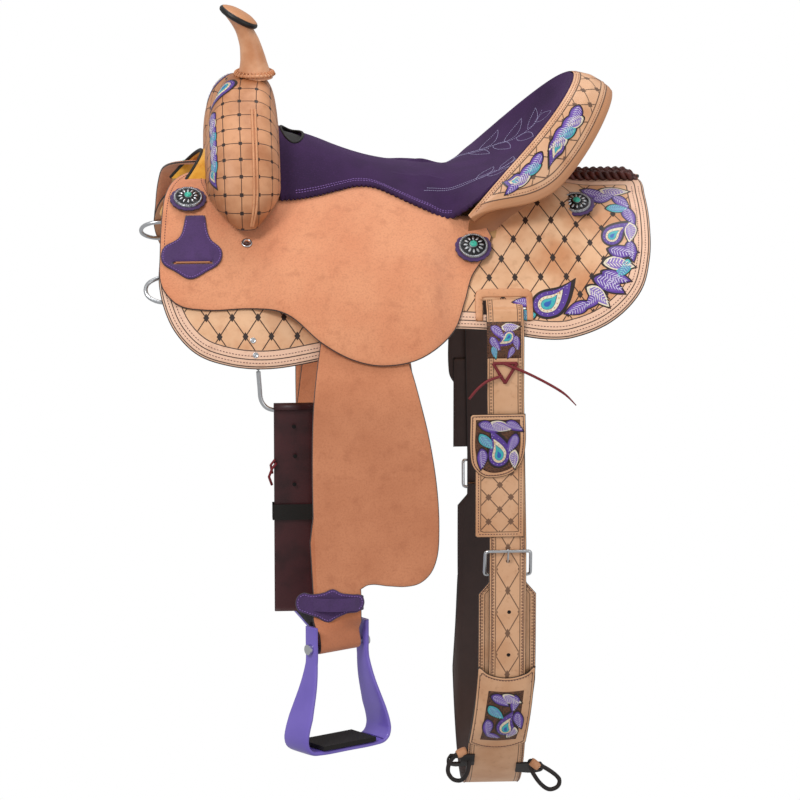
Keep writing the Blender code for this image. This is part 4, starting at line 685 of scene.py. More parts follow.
def eased(values, times, closed=False):
    """Values along a line, smoothed. The ends stay as they are unless the line is closed."""
    values = np.array(values, float)
    for _ in range(times):
        if closed:
            values = (np.roll(values, 1, 0) + 2 * values + np.roll(values, -1, 0)) / 4
        else:
            values[1:-1] = (values[:-2] + 2 * values[1:-1] + values[2:]) / 4
    return values


tilt = math.radians(29)
shares = np.linspace(0, 1, 44)
stations = (0, 0.10, 0.25, 0.48, 0.70, 0.86, 1)
neck_x = np.interp(shares, stations, (-0.1965, -0.1968, -0.1978, -0.2008, -0.2062, -0.2130, -0.2196))
neck_z = np.interp(shares, stations, (0.1560, 0.1650, 0.1770, 0.1970, 0.2150, 0.2270, 0.2362))
radii = np.interp(shares, stations, (0.0245, 0.0212, 0.0180, 0.0154, 0.0156, 0.0180, 0.0235))
centre, radii = eased(np.stack([neck_x, 0 * shares, neck_z], 1), 10), eased(radii, 10)
lean = tilt * np.interp(shares, (0.35, 1), (0, 1))
turn = circle(40)
neck = centre[:, None] + radii[:, None, None] * np.stack(
    [np.cos(turn) * np.cos(lean)[:, None], np.sin(turn) + 0 * lean[:, None],
     -np.cos(turn) * np.sin(lean)[:, None]], -1)
horn_leather = grained("horn_leather", "#E6AC83", "#CC8A5F", 30, 0.35, 0.7, 500, 0.0001, 4.0,
                       Roughness=0.4)
neck = {"points": neck.reshape(-1, 3), "faces": [grid_faces(len(shares), 40, True)]}
add("horn_neck_leather", neck, horn_leather, "saddle", "horn_neck")
cap = np.array([
    (0, 0.0062), (0.010, 0.0058), (0.018, 0.0046), (0.024, 0.0024), (0.0268, 0.0008),
    (0.0284, -0.0012), (0.0288, -0.0032), (0.0278, -0.0056), (0.0250, -0.0072), (0.018, -0.0076),
    (0.0, -0.0078)])


def turned_shape(profile, frame, steps=48):
    """A profile of (radius, height) turned round the third axis of a frame."""
    origin, first, second, axis = frame
    turn = circle(steps)[None, :, None]
    r, z = profile[:, 0, None, None], profile[:, 1, None, None]
    points = origin + r * (np.cos(turn) * first + np.sin(turn) * second) + z * axis
    return {"points": points.reshape(-1, 3), "faces": [grid_faces(len(profile), steps, True)],
            "edge": np.repeat(np.linspace(0, 1, len(profile)), steps)}


cap_frame = (np.array([-0.2165, 0, 0.2420]), np.array([math.cos(tilt), 0, -math.sin(tilt)]),
             np.array([0, 1.0, 0]),
             np.array([math.sin(tilt), 0, math.cos(tilt)]))
cap_leather = Look("horn_cap_leather", Roughness=0.45)
cap_edge = cap_leather.attribute("edge")
cap_leather.put(Base_Color=cap_leather.mix(cap_edge.step(0.37, 0.40), "#C98A5C", "#120E0D"))
cap_leather.raised(cap_leather.noise(500) * 0.0001)
add("horn_cap_leather", turned_shape(cap, cap_frame), cap_leather, "saddle", "horn_cap")
collar = np.stack([-0.197 + 0.0250 * np.cos(turn), 0.0250 * np.sin(turn),
                   0.1625 - 0.0020 * np.cos(turn)**2], 1)
add("horn_neck_collar", tube(collar, 0.0024, 8, True), horn_leather, "saddle", "horn_neck",
    replaces=False)
stubs = []
centre = np.array([-0.197, 0, 0.1632])
for a in circle(28):
    way = np.array([math.cos(a), math.sin(a), 0])
    bent = [centre + way * r + (0, 0, up)
            for r, up in ((0.0225, 0.0030), (0.0262, 0.0012), (0.0282, -0.0030))]
    stubs.append(tube(bent, 0.0010, 6))
add("horn_neck_lace", join(stubs), plain, "saddle", "horn_neck", replaces=False)


# Seat: purple suede over foam, quilted with a pale scroll, running up inside the cantle. Its
# lower edge is pinked in scallops above two rows of stitches. A hand hole opens at the front.

ROWS = np.array([
    (-0.1665, 0.0880, 0), (-0.1380, 0.0790, 0), (-0.1130, 0.0700, 0), (-0.0870, 0.0590, 0),
    (-0.0600, 0.0490, 0), (-0.0380, 0.0420, 0), (-0.0180, 0.0370, 0), (0.0050, 0.0330, 0),
    (0.0300, 0.0300, 0), (0.0620, 0.0290, 0), (0.0850, 0.0300, 83), (0.1080, 0.0330, 76),
    (0.1320, 0.0390, 69), (0.1560, 0.0490, 61), (0.1780, 0.0640, 53), (0.1970, 0.0840, 46),
    (0.2110, 0.1060, 40), (0.2200, 0.1280, 35), (0.2245, 0.1500, 30)])


def rim(beta, out=0.0, up=0.0):
    """The cantle's rim: a half ellipse in plan that rises to the middle."""
    return np.stack([0.070 + (0.165 + out) * np.cos(beta), -(0.150 + out) * np.sin(beta),
                     -0.002 + 0.158 * np.abs(np.cos(beta))**1.1 + up + 0 * beta], -1)


def seat_edge(x):
    """How far down the saddle's side the seat's lower edge runs."""
    back = (-0.156, -0.138, -0.113, -0.087, -0.060, -0.042, -0.026, 0.000, 0.025, 0.060, 0.083)
    down = (0.083, 0.080, 0.074, 0.065, 0.057, 0.058, 0.067, 0.084, 0.099, 0.110, 0.114)
    return np.interp(x, back, down)


def seat_end(x, beta):
    """The near end of a row: on the jockey in front, on the rim behind."""
    s = seat_edge(x)
    low = on_jockey(x, s, 0.0050)
    high = rim(np.radians(beta), -0.0025)
    return np.where((beta > 0)[..., None], high, low)


columns = 65
across = np.linspace(-1, 1, columns)
coarse = []
for x, z, beta in ROWS:
    end = seat_end(np.array(x), np.array(beta))
    if beta == 30:
        coarse.append(rim(np.radians(-across * beta), -0.0025))
        continue
    row = np.stack([end[0] + (x - end[0]) * (1 - across**2), across * abs(end[1]),
                    z + (end[2] - z) * np.abs(across)**2.2], 1)
    if beta == 0:
        s = np.linspace(0, 0.2, 200)
        s = np.interp(np.abs(row[:, 1]), -on_saddle(0.0, s, 0.03)[:, 1], s)
        floor = on_jockey(row[:, 0], s, 0.0055)[:, 2]
        row[:, 2] = np.where(np.abs(row[:, 1]) > 0.045, np.maximum(row[:, 2], floor), row[:, 2])
    coarse.append(row)
coarse = np.array(coarse)
knots = np.concatenate([[0], np.cumsum(np.linalg.norm(np.diff(coarse[:, columns // 2], axis=0), axis=1))])
fine = np.linspace(0, knots[-1], 420)


def spline(at, knots, values):
    """A smooth curve through values at knots, along the first axis."""
    slopes = np.gradient(values, knots, axis=0)
    i = np.clip(np.searchsorted(knots, at) - 1, 0, len(knots) - 2)
    width = knots[i + 1] - knots[i]
    t = ((at - knots[i]) / width).reshape((-1,) + (1,) * (values.ndim - 1))
    width = width.reshape(t.shape)
    return ((2 * t**3 - 3 * t**2 + 1) * values[i] + (t**3 - 2 * t**2 + t) * slopes[i] * width
            + (3 * t**2 - 2 * t**3) * values[i + 1] + (t**3 - t**2) * slopes[i + 1] * width)


seat_grid = spline(fine, knots, coarse)
pinks = 0.0026 * np.abs(np.sin(fine / 0.0062 * np.pi))
front_rows = fine < knots[9] + 0.02
for column, inward in ((0, 1), (-1, -2)):
    way = unit(seat_grid[:, column] - seat_grid[:, inward])
    seat_grid[front_rows, column] += (way * pinks[:, None])[front_rows]
seat_out = unit(np.cross(np.gradient(seat_grid, axis=0), np.gradient(seat_grid, axis=1)))
flip = np.where(seat_out[..., 2:] < 0, -1, 1)
seat_out = seat_out * flip


def on_seat(u, v, h):
    """u is the way back along the middle in metres, v across from -1 (near) to 1."""
    row = np.clip(u / knots[-1] * (len(fine) - 1), 0, len(fine) - 1.001)
    column = np.clip((v + 1) / 2 * (columns - 1), 0, columns - 1.001)
    i, j = row.astype(int), column.astype(int)
    a, b = (row - i)[..., None], (column - j)[..., None]
    found = [g[i, j] * (1 - a) * (1 - b) + g[i + 1, j] * a * (1 - b) + g[i, j + 1] * (1 - a) * b
             + g[i + 1, j + 1] * a * b
             for g in (seat_grid, seat_out)]
    return found[0] + unit(found[1]) * np.asarray(h)[..., None]


if coarse[0, 0, 1] > 0:
    seat_grid, seat_out = seat_grid[:, ::-1], seat_out[:, ::-1]
HOLE_X, HOLE_LONG, HOLE_WIDE = -0.1470, 0.0150, 0.0360
hole = ((seat_grid[..., 0] - HOLE_X) / HOLE_LONG)**2 + (seat_grid[..., 1] / HOLE_WIDE)**2
faces = grid_faces(len(fine), columns)
faces = faces[hole.ravel()[faces].min(1) > 1]
thick = np.where(np.abs(across) > 0.8, 0.004, 0.008) + np.zeros((len(fine), 1))
below = seat_grid - seat_out * thick[..., None]
count = seat_grid[..., 0].size
ends = np.concatenate([faces[:, [0, 1]], faces[:, [1, 2]], faces[:, [2, 3]], faces[:, [3, 0]]])
codes = np.sort(ends, 1) @ np.array([count, 1])
_, first, times = np.unique(codes, return_index=True, return_counts=True)
open_ends = ends[first[times == 1]]
sides = np.stack([open_ends[:, 1], open_ends[:, 0], open_ends[:, 0] + count, open_ends[:, 1] + count], 1)
seat_shape = {"points": np.vstack([seat_grid.reshape(-1, 3), below.reshape(-1, 3)]),
              "faces": [faces[:, ::-1], faces + count, sides[:, ::-1]],
              "edge": np.concatenate([np.ones(count), -np.ones(count)])}
suede = Look("purple_suede", Roughness=0.95, Sheen_Weight=0.2, Sheen_Roughness=0.5)
nap = suede.noise(500, 4.0)
base = suede.mix(suede.noise(22, 4.0).step(0.3, 0.75), "#2B1139", "#371947")
base = suede.mix(nap.step(0.5, 0.8) * 0.3, base, "#502A66")
# The seat's underside and the lower part of its cut edge are near black: painted shade under the seat.
suede.put(Base_Color=suede.mix(suede.attribute("edge").step(-0.3, -0.8), base, "#171014"),
          Sheen_Tint="#784898")
suede.raised(nap * 0.0004)
seat = add("seat_suede", seat_shape, suede, "saddle", "seat")
turn = circle(72)
hole_line = np.stack([(HOLE_LONG + 0.0002) * np.cos(turn), (HOLE_WIDE + 0.0002) * np.sin(turn)], 1)
flat_seat = seat_grid.reshape(-1, 3)


def hole_ring(share, sink):
    """A ring in the hand hole, this far under the seat's own height."""
    places = hole_line * share + (HOLE_X, 0)
    tops = [flat_seat[np.argmin(((flat_seat[:, :2] - p)**2).sum(1)), 2] for p in places]
    return np.column_stack([places, eased(tops, 8, True) - sink])


# The hand hole gets a black ring round its lip and a black wall down to a closed floor: the wall and floor
# are painted shade in the hole.
lip = hole_ring(1, 0)
wall = [lip - (0, 0, 0.0005), lip - (0, 0, 0.0040)]
wall += [hole_ring(share, 0.0055) for share in (0.95, 0.6, 0.3, 0.02)]
wall = {"points": np.vstack(wall), "faces": [grid_faces(6, 72, True), np.arange(360, 432)[None]]}
add("seat_hole_rim_and_shade", join([tube(lip, 0.0019, 8, True), wall]), black, "saddle", "seat", replaces=False)


# Cheyenne roll: tooled leather shaped over a stiff plug, turned down behind the cantle. Two
# stitched borders hold a field of diamonds and painted feathers, above a plain rolled edge.


def roll_rim(beta):
    """The cantle's rim, dipping to the jockey at its two ends."""
    dip = np.clip((np.degrees(np.abs(beta)) - 62) / 22, 0, 1)**2
    return rim(beta) + dip[..., None] * (-0.004, 0, -0.015)


def roll_edge(beta):
    """The roll's outer edge, drawn in to a point at its two ends."""
    beta = np.asarray(beta, float)
    place = np.stack([0.075 + 0.213 * np.cos(beta), -0.174 * np.sin(beta),
                      -0.018 + 0.150 * np.abs(np.cos(beta))**2.3], -1)
    draw = 0.80 * np.clip((np.degrees(np.abs(beta)) - 50) / 34, 0, 1)**1.8
    return place + (roll_rim(beta) - place) * draw[..., None]


def on_roll(beta, share, h):
    """beta goes round the cantle from the middle to the near end, share from rim to edge."""
    beta, share = np.broadcast_arrays(np.asarray(beta, float), np.asarray(share, float))
    inner, outer = roll_rim(beta), roll_edge(beta)
    width = np.linalg.norm(outer - inner, axis=-1)
    ahead, behind = [roll_rim(beta + k) + roll_edge(beta + k) for k in (0.01, -0.01)]
    out = unit(np.cross(outer - inner, ahead - behind))
    out = out * np.where(out[..., 2:] < 0, -1, 1)
    section = np.array([
        (0, 0.0005, 0), (0.15, 0, 0.075), (0.42, 0, 0.125), (0.70, 0, 0.095), (0.95, 0, 0.028),
        (1, -0.0012, 0)])
    rise = sum(np.interp(share + k, section[:, 0], section[:, 1])
               + width * np.interp(share + k, section[:, 0], section[:, 2])
               for k in (-0.04, -0.02, 0, 0.02, 0.04)) / 5
    return inner + (outer - inner) * share[..., None] + out * (rise + h)[..., None]


beta = np.radians(np.linspace(-84, 84, 225))
top = np.concatenate([np.linspace(0, 0.96, 40), [0.985, 1.0]])
beta_at, share_at = np.meshgrid(beta, top, indexing="ij")
upper = on_roll(beta_at, share_at, 0.0)
width = np.linalg.norm(roll_edge(beta) - roll_rim(beta), axis=-1)[:, None]
bend = [on_roll(beta_at[:, :1], np.full_like(beta_at[:, :1], a), b)
        for a, b in ((1.02, -0.0022), (1.015, -0.0055), (0.97, -0.0078))]
under = on_roll(beta_at[:, ::-4], np.clip(share_at[:, ::-4], 0, 0.94),
                -0.0060 - 0.008 * share_at[:, ::-4])
whole = np.concatenate([upper, *bend, under], 1)
middle_line = (roll_edge(beta) + roll_rim(beta)) / 2
round_way = np.concatenate([[0], np.cumsum(np.linalg.norm(np.diff(middle_line, axis=0), axis=1))])
round_way -= round_way[len(beta) // 2]
depth = np.concatenate([share_at * width,
                        np.full((len(beta), whole.shape[1] - share_at.shape[1]), -0.01)], 1)
roll_uv = np.stack([np.broadcast_to(round_way[:, None], depth.shape), depth], -1)
margin = np.minimum(depth, np.maximum(width - 0.0115, 0.001) - depth)
roll_shape = {"points": whole.reshape(-1, 3), "faces": [grid_faces(*whole.shape[:2])],
              "uv": roll_uv.reshape(-1, 2),
              "edge": margin.ravel()}
roll_leather = Look("roll_leather", Roughness=0.45)
u, v = roll_leather.pattern()
edge = roll_leather.attribute("edge")
lines, dots = lattice(u, v, 0.034, 0.034)
field = edge.step(0.0085, 0.0090)
cut = (lines * field).math("MAXIMUM", dots * field)
cut = cut.math("MAXIMUM", (edge - 0.0085).math("ABSOLUTE").step(0.0010, 0.0004))
cut = cut.math("MAXIMUM", (edge + 0.0002).math("ABSOLUTE").step(0.0010, 0.0005) * v.step(0.004, 0.005))
base = roll_leather.mix(roll_leather.noise(18).step(0.35, 0.75), "#E3B28C", "#CF956B")
base = roll_leather.mix(edge.step(0.0, -0.001), base, "#C58B62")
base = roll_leather.mix(cut * 0.85, base, "#40271C")
roll_leather.put(Base_Color=base).raised(roll_leather.noise(700) * 0.00006 - cut * 0.0006)
add("cheyenne_roll_leather", roll_shape, roll_leather, "saddle", "cheyenne_roll")


def roll_place(u, v, h):
    """u in metres round the cantle from its middle, v in metres from the rim."""
    turn = np.interp(u, round_way, beta)
    return on_roll(turn, v / np.interp(turn, beta, width[:, 0]), h)


rows = []
for side in (-1, 1):
    reach = np.linspace(0.004, round_way[-1] - 0.010, 400) * side
    for depth in (0.0030, 0.0062):
        rows.append(np.stack([reach, np.full_like(reach, depth)], 1))
    reach = reach[:340]
    rows.append(np.stack([reach, np.interp(np.abs(reach), round_way, width[:, 0]) - 0.0145], 1))
pale_thread = Look("pale_thread", Roughness=0.7, Base_Color="#8E5B45")
add("cheyenne_roll_stitches", stitches(roll_place, rows, 0.0040), pale_thread, "saddle", "cheyenne_roll",
    replaces=False)
# The wall under the roll is a darker brown than the plain leather: painted shade under the roll.
shaded_brown_leather = Look("cantle_back_shaded_leather", Roughness=0.5)
shade = shaded_brown_leather.mix(shaded_brown_leather.noise(30), "#B87A50", "#8C5634")
shaded_brown_leather.put(Base_Color=shade).raised(shaded_brown_leather.noise(500) * 0.0001)
foot_s = np.linspace(0.0, 0.25, 400)
sweep = np.radians(np.linspace(-84, 84, 113))
head = roll_rim(sweep) * 0.45 + roll_edge(sweep) * 0.55 - (0, 0, 0.004)
foot_x, foot_y = 0.070 + 0.152 * np.cos(sweep), 0.135 * np.sin(sweep)
reach_s = np.interp(np.abs(foot_y), -on_skirt(0.19, foot_s, 0.0)[:, 1], foot_s)
foot_z = on_skirt(foot_x, reach_s, 0.0)[:, 2] - 0.006
foot = np.stack([foot_x, -foot_y, foot_z], 1)
shares = np.linspace(0, 1, 14)[:, None, None]
outward = np.stack([np.cos(sweep), -np.sin(sweep), 0 * sweep], 1)
wall = head * (1 - shares) + foot * shares - outward * 0.010 * np.sin(np.pi * shares)
wall = {"points": wall.reshape(-1, 3), "faces": [grid_faces(14, len(sweep))]}
back = add("cantle_back_shaded_leather", wall, shaded_brown_leather, "saddle", "cantle_back")
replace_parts(back, "cantle_board")


# Seat stitching: two rows of lavender thread above the pinked edge and a quilted scroll of
# pale leaves up each side of the dish.

seat_thread = Look("seat_thread", Roughness=0.7, Base_Color="#8F6BB5")
rows = []
for side in (-1, 1):
    for gap in (0.0065, 0.0100):
        u = np.linspace(0.022, knots[8] + 0.035, 300)
        i = np.clip((u / knots[-1] * (len(fine) - 1)).astype(int), 0, len(fine) - 1)
        spans = np.linalg.norm(np.diff(seat_grid[i], axis=1), axis=2)[:, :6]
        reach = spans.sum(1) / 6 * (columns - 1) / 2
        rows.append(np.stack([u, side * (1 - gap / reach)], 1))
add("seat_edge_stitches", stitches(on_seat, rows, 0.0040), seat_thread, "saddle", "seat", replaces=False)


def leaf(length, width, bend=0.0, steps=40):
    """The outline of a leaf from its foot at 0 to its tip."""
    t = np.linspace(0, 1, steps)
    half = width / 2 * np.sin(np.pi * t**0.8)**0.9
    middle = bend * length * (t * t)
    return np.vstack([np.stack([t * length, middle + half], 1),
                      np.stack([t * length, middle - half], 1)[::-1][1:-1]])


def turned(outline, x, s, angle, flip=1):
    c, d = math.cos(math.radians(angle)), math.sin(math.radians(angle))
    return np.stack([x + outline[:, 0] * c - outline[:, 1] * flip * d,
                     s + outline[:, 0] * d + outline[:, 1] * flip * c], 1)


def seat_metres(u, w, h):
    """w is metres up from the middle line of the dish's near side."""
    row = np.clip(u / knots[-1] * (len(fine) - 1), 0, len(fine) - 1).astype(int)
    half = np.linalg.norm(np.diff(seat_grid[row], axis=-2), axis=-1)[..., :32].sum(-1)
    return on_seat(u, -0.5 + w / half, h)


scroll_thread = Look("scroll_thread", Roughness=0.7, Base_Color="#A9A3C8")
foot = knots[12]
STEM = (
    (-0.070, -0.020), (-0.030, -0.010), (0.000, 0.000), (0.035, 0.006), (0.070, 0.020),
    (0.100, 0.018), (0.125, 0.004))
TENDRIL = ((-0.066, -0.014), (-0.030, -0.004), (0.000, 0.006), (0.030, 0.012))
scroll = [smooth_line([(foot + a - 0.035, b - 0.008) for a, b in line], False)
          for line in (STEM, TENDRIL)]
LEAVES = (
    (0.000, 0.000, 0.034, 0.012, 40), (0.016, 0.002, 0.036, 0.013, -35),
    (0.036, 0.006, 0.034, 0.013, 50), (0.052, 0.012, 0.034, 0.013, -30),
    (0.070, 0.020, 0.032, 0.013, 45), (0.090, 0.020, 0.030, 0.012, -40),
    (0.104, 0.014, 0.028, 0.011, 25))
for a, b, length, wide, angle in LEAVES:
    petal = leaf(length * 1.35, wide * 1.5, 0.25)
    petal = turned(petal, foot + a - 0.035, b - 0.008, angle, 1 if angle > 0 else -1)
    scroll.append(np.vstack([petal, petal[:1]]))
quilt = stitches(seat_metres, scroll, 0.0030, 0.72, 0.00042)
add("seat_scroll_left", quilt, scroll_thread, "saddle", "seat", replaces=False)
add("seat_scroll_right", quilt, scroll_thread, "saddle", "seat", mirror=True, replaces=False)


# Painted work: feathers and drops in purple, turquoise and cream on a dark ground, the same
# on the skirts, roll, swell and rear strap. Each drop is built up in rings, each dot by hand.

INK, PURPLE, LAVENDER, CREAM = "#24150F", "#5A3A96", "#C9B6E6", "#EBDFC4"
TEAL, BLUE, ORANGE, PLUM = "#3FB3B8", "#2C63B4", "#D9963F", "#3F1D66"
HEART = {PURPLE: "#7450AE", CREAM: "#8F74C4", TEAL: "#6A8FC4"}
VEIN = {PURPLE: "#D8D0EC", CREAM: "#F4EBDD", TEAL: "#8FE0DC"}
paint = Look("paint", Roughness=0.4)
tint = paint.attribute("paint", "Color")
paint.put(Base_Color=paint.mix(paint.noise(500).step(0.45, 0.8) * 0.35, tint, "#2A1740"))


def rings(place, outline, centre, bands, low=0.0003, dome=0.0007):
    """Coloured rings that shrink from an outline to its centre, laid by place."""
    made = []
    for outer, inner, colour in bands:
        shares = np.linspace(outer, inner, 3)
        flat = centre + (outline - centre) * shares[:, None, None]
        h = low + dome * np.clip(1.05 - shares, 0, 1)[:, None] + 0 * flat[..., 0]
        points = place(flat[..., 0], flat[..., 1], h)
        made.append({"points": points.reshape(-1, 3), "faces": [grid_faces(3, len(outline), True)],
                     "paint": np.tile(rgb(colour), (points.shape[0] * points.shape[1], 1))})
    return made


def dots_on(place, spots, radius, colour, low=0.0011):
    """Small raised dots of paint at flat places."""
    turn = circle(7)
    spots = np.asarray(spots)
    ring = spots[:, None] + radius * np.stack([np.cos(turn), np.sin(turn)], 1)
    flat = np.stack([ring, spots[:, None] + (ring - spots[:, None]) * 0.5,
                     np.repeat(spots[:, None], 7, 1)], 1)
    h = low + np.array([0, 0.7, 1])[None, :, None] * radius * 0.6 + 0 * flat[..., 0]
    points = place(flat[..., 0], flat[..., 1], h)
    return {"points": points.reshape(-1, 3), "faces": [grid_faces(3, 7, True, len(spots))],
            "paint": np.tile(rgb(colour), (len(spots) * 21, 1))}


def strokes(place, starts, ends, wide, colour, low=0.0012):
    """Tapered brush strokes between flat places."""
    starts, ends = np.asarray(starts), np.asarray(ends)
    way = unit(ends - starts)
    side = np.stack([-way[:, 1], way[:, 0]], 1)
    t = np.array([0, 0.35, 0.7, 1])[None, :, None]
    w = np.array([0.35, 1, 0.8, 0.1])[None, :, None] * wide / 2
    middle = starts[:, None] * (1 - t) + ends[:, None] * t
    flat = np.stack([middle - side[:, None] * w, middle + side[:, None] * w], 2)
    points = place(flat[..., 0], flat[..., 1], low + 0 * flat[..., 0])
    return {"points": points.reshape(-1, 3), "faces": [grid_faces(4, 2, False, len(starts))],
            "paint": np.tile(rgb(colour), (len(starts) * 8, 1))}


def drop(place, x, s, length, angle, flip=1):
    """A bent drop: purple with white ticks, a dotted cream ring, then turquoise and blue."""
    t = circle(72)
    a, b = length / 2, length * 0.36
    along = a * np.cos(t)
    wide = b * np.sin(t) * np.sin(t / 2)**0.75
    outline = np.stack([along, wide + 0.30 * length * np.maximum(along / a + 0.1, 0)**2], 1)
    outline = turned(outline, x, s, angle, flip)
    eye = turned(np.array([[-0.20 * length, -0.005 * length]]), x, s, angle, flip)[0]
    made = rings(place, outline, eye, (
        (1.20, 1.0, INK), (1.0, 0.70, PURPLE), (0.70, 0.66, PLUM), (0.66, 0.44, CREAM),
        (0.44, 0.41, PLUM), (0.41, 0.20, TEAL), (0.20, 0.0, BLUE)))
    for share, radius, colour, gap in ((0.55, length * 0.014, ORANGE, 4),
                                       (0.85, length * 0.011, LAVENDER, 4)):
        made.append(dots_on(place, (eye + (outline - eye) * share)[::gap], radius, colour))
    return made


def feather(place, x, s, length, angle, flip=1, colour=PURPLE):
    """A bent leaf with a row of pale strokes from its middle line to each edge."""
    length = length * 1.28
    outline = turned(leaf(length, length * 0.50, 0.24), x, s, angle, flip)
    heart = turned(np.array([[0.50 * length, 0.055 * length]]), x, s, angle, flip)[0]
    made = rings(place, outline, heart,
                 ((1.18, 1.0, INK), (1.0, 0.82, colour), (0.82, 0.0, HEART[colour])))
    t = np.linspace(0.10, 0.80, 8)
    for side in (-1, 1):
        start = np.stack([t * length, 0.22 * length * t * t], 1)
        reach = length * 0.46 / 2 * np.sin(np.pi * (t + 0.1)**0.8)**0.9 * 0.80
        end = np.stack([(t + 0.12) * length, 0.22 * length * t * t + side * reach], 1)
        start, end = turned(start, x, s, angle, flip), turned(end, x, s, angle, flip)
        made.append(strokes(place, start, end, length * 0.032, VEIN[colour]))
    return made


def painted(node, word, place, drops, feathers, body="saddle", pairs=True):
    made = []
    for x, s, length, angle, flip in drops:
        made += drop(place, x, s, length, angle, flip)
    for x, s, length, angle, flip, colour in feathers:
        made += feather(place, x, s, length, angle, flip, colour)
    if pairs:
        pair(node, word, join(made), paint, body, replaces=False)
    else:
        add(f"{node}_{word}", join(made), paint, body, node, replaces=False)
        add(f"{node}_{word}_far", join(made), paint, body, node, mirror=True, replaces=False)


painted("skirt", "paint", on_skirt, ((0.281, 0.122, 0.044, -70, 1), (0.196, 0.226, 0.058, -14, -1)), (
    (0.243, 0.044, 0.030, 8, 1, PURPLE), (0.268, 0.040, 0.030, 20, -1, CREAM),
    (0.256, 0.062, 0.028, -10, -1, PURPLE), (0.284, 0.054, 0.026, 40, 1, PURPLE),
    (0.274, 0.080, 0.024, -8, 1, TEAL), (0.301, 0.078, 0.026, 88, -1, PURPLE),
    (0.303, 0.106, 0.026, 80, 1, CREAM), (0.272, 0.150, 0.030, 22, -1, PURPLE),
    (0.303, 0.138, 0.024, 100, -1, PURPLE), (0.264, 0.172, 0.032, -6, 1, CREAM),
    (0.262, 0.184, 0.030, 34, -1, PURPLE), (0.298, 0.166, 0.026, 110, 1, TEAL),
    (0.250, 0.194, 0.034, 14, 1, PURPLE), (0.286, 0.188, 0.026, 128, 1, PURPLE),
    (0.240, 0.206, 0.030, 30, 1, CREAM), (0.262, 0.212, 0.026, 150, -1, PURPLE),
    (0.240, 0.226, 0.026, 140, 1, PURPLE), (0.166, 0.228, 0.020, 200, -1, PURPLE),
    (0.170, 0.242, 0.022, 170, 1, TEAL)))


def spray(count, start, step, odd, length, angle, turns, colours):
    """Feathers in a row. Every other one is shifted by odd and leans the other way."""
    return [(start[0] + step[0] * i + odd[0] * (i % 2), start[1] + step[1] * i + odd[1] * (i % 2), length,
             angle + turns[i % 2], (1, -1)[i % 2], colours[i % 4]) for i in range(count)]


upper = spray(6, (-0.082, 0.022), (-0.0105, 0), (0, 0.014), 0.026, 186, (-22, 26),
              (PURPLE, CREAM, PURPLE, TEAL))
lower = spray(5, (-0.178, 0.020), (-0.0100, 0), (0, 0.011), 0.023, 184, (-22, 26),
              (PURPLE, TEAL, PURPLE, CREAM))
painted("cheyenne_roll", "paint", roll_place,
        ((-0.158, 0.030, 0.036, 186, -1), (-0.232, 0.020, 0.026, 190, 1)),
        upper + lower, pairs=False)


def swell_place(u, v, h):
    """u in metres from the crest to the rear, v in metres down from the top."""
    return on_swell(-v / 0.158, np.pi / 2 + u / 0.045, h)


row = spray(8, (-0.040, 0.070), (0, 0.0125), (0.008, 0), 0.023, 90, (-26, 22),
            (PURPLE, CREAM, PURPLE, TEAL))
painted("swell_cover", "paint", swell_place,
        ((-0.022, 0.040, 0.044, 118, 1), (-0.040, 0.186, 0.030, 95, -1)),
        row, pairs=False)


# Lacing: a dark leather plait that ties the two skirts together behind the cantle.

braid = grained("braid_leather", "#5A241C", "#38140F", 90, 0.35, 0.7, 500, 0.0002, Roughness=0.55)
run = np.linspace(0.226, 0.322, 120)
strands = []
for side in (-1, 1):
    for shift in (0, 2 * np.pi / 3, 4 * np.pi / 3):
        wave = run * 2 * np.pi / 0.030 + shift
        ridge = 0.0165 - 0.012 * np.clip((run - 0.300) / 0.022, 0, 1)**2
        path = np.stack([run, side * 0.010 + 0.0065 * np.sin(wave), ridge + 0.0035 * np.sin(2 * wave)], 1)
        strands.append(tube(path, 0.0036, 8))
add("skirt_lacing_plait", join(strands), braid, "saddle", "skirt_lacing")


# Conchos: domed steel rounds with a rope edge, engraved petals and a turquoise, screwed down
# over a scalloped rosette of purple leather.

silver = Look("aged_silver", Metallic=1.0)
worn = silver.noise(300).step(0.4, 0.7)
band = silver.attribute("edge")
band = band.step(0.30, 0.36) * band.step(0.86, 0.80)
silver.put(Base_Color=silver.mix(band * 0.9, silver.mix(worn, "#A9ABAE", "#6A6C70"), "#1C1B1D"),
           Roughness=0.34 + worn * 0.2)
steel = Look("steel", Metallic=1.0, Roughness=0.28, Base_Color="#C9CBCE")
stone = grained("turquoise", "#3DB79E", "#1F6E63", 300, 0.55, 0.7, Roughness=0.25)
purple_leather = roughout("purple_suede_trim", "#4C2C66", "#3E2254", 0.0007, "#2E1840", "#6B4A86")
dome = np.array([
    (0.0195, 0.0020), (0.0195, 0.0042), (0.0182, 0.0058), (0.0168, 0.0052), (0.0150, 0.0056),
    (0.0135, 0.0060), (0.0085, 0.0074), (0.0060, 0.0086), (0.0052, 0.0090), (0.0, 0.0092)])
stone_top = np.array([
    (0.0050, 0.0088), (0.0048, 0.0100), (0.0036, 0.0112), (0.0018, 0.0118), (0, 0.0120)])
screw_top = np.array([
    (1.0, 0.0), (1.0, 0.12), (0.85, 0.22), (0.62, 0.16), (0.55, 0.05), (0.30, 0.10), (0, 0.12)])


def on_spot(level, x, s):
    """The middle, two sides and outward way of a round piece on the leather."""
    origin = level(x, s, 0.0)
    out = unit(level(x, s, 0.01) - origin)
    first = unit(np.cross(np.cross(out, (1.0, 0, 0)), out))
    return origin, first, np.cross(out, first), out


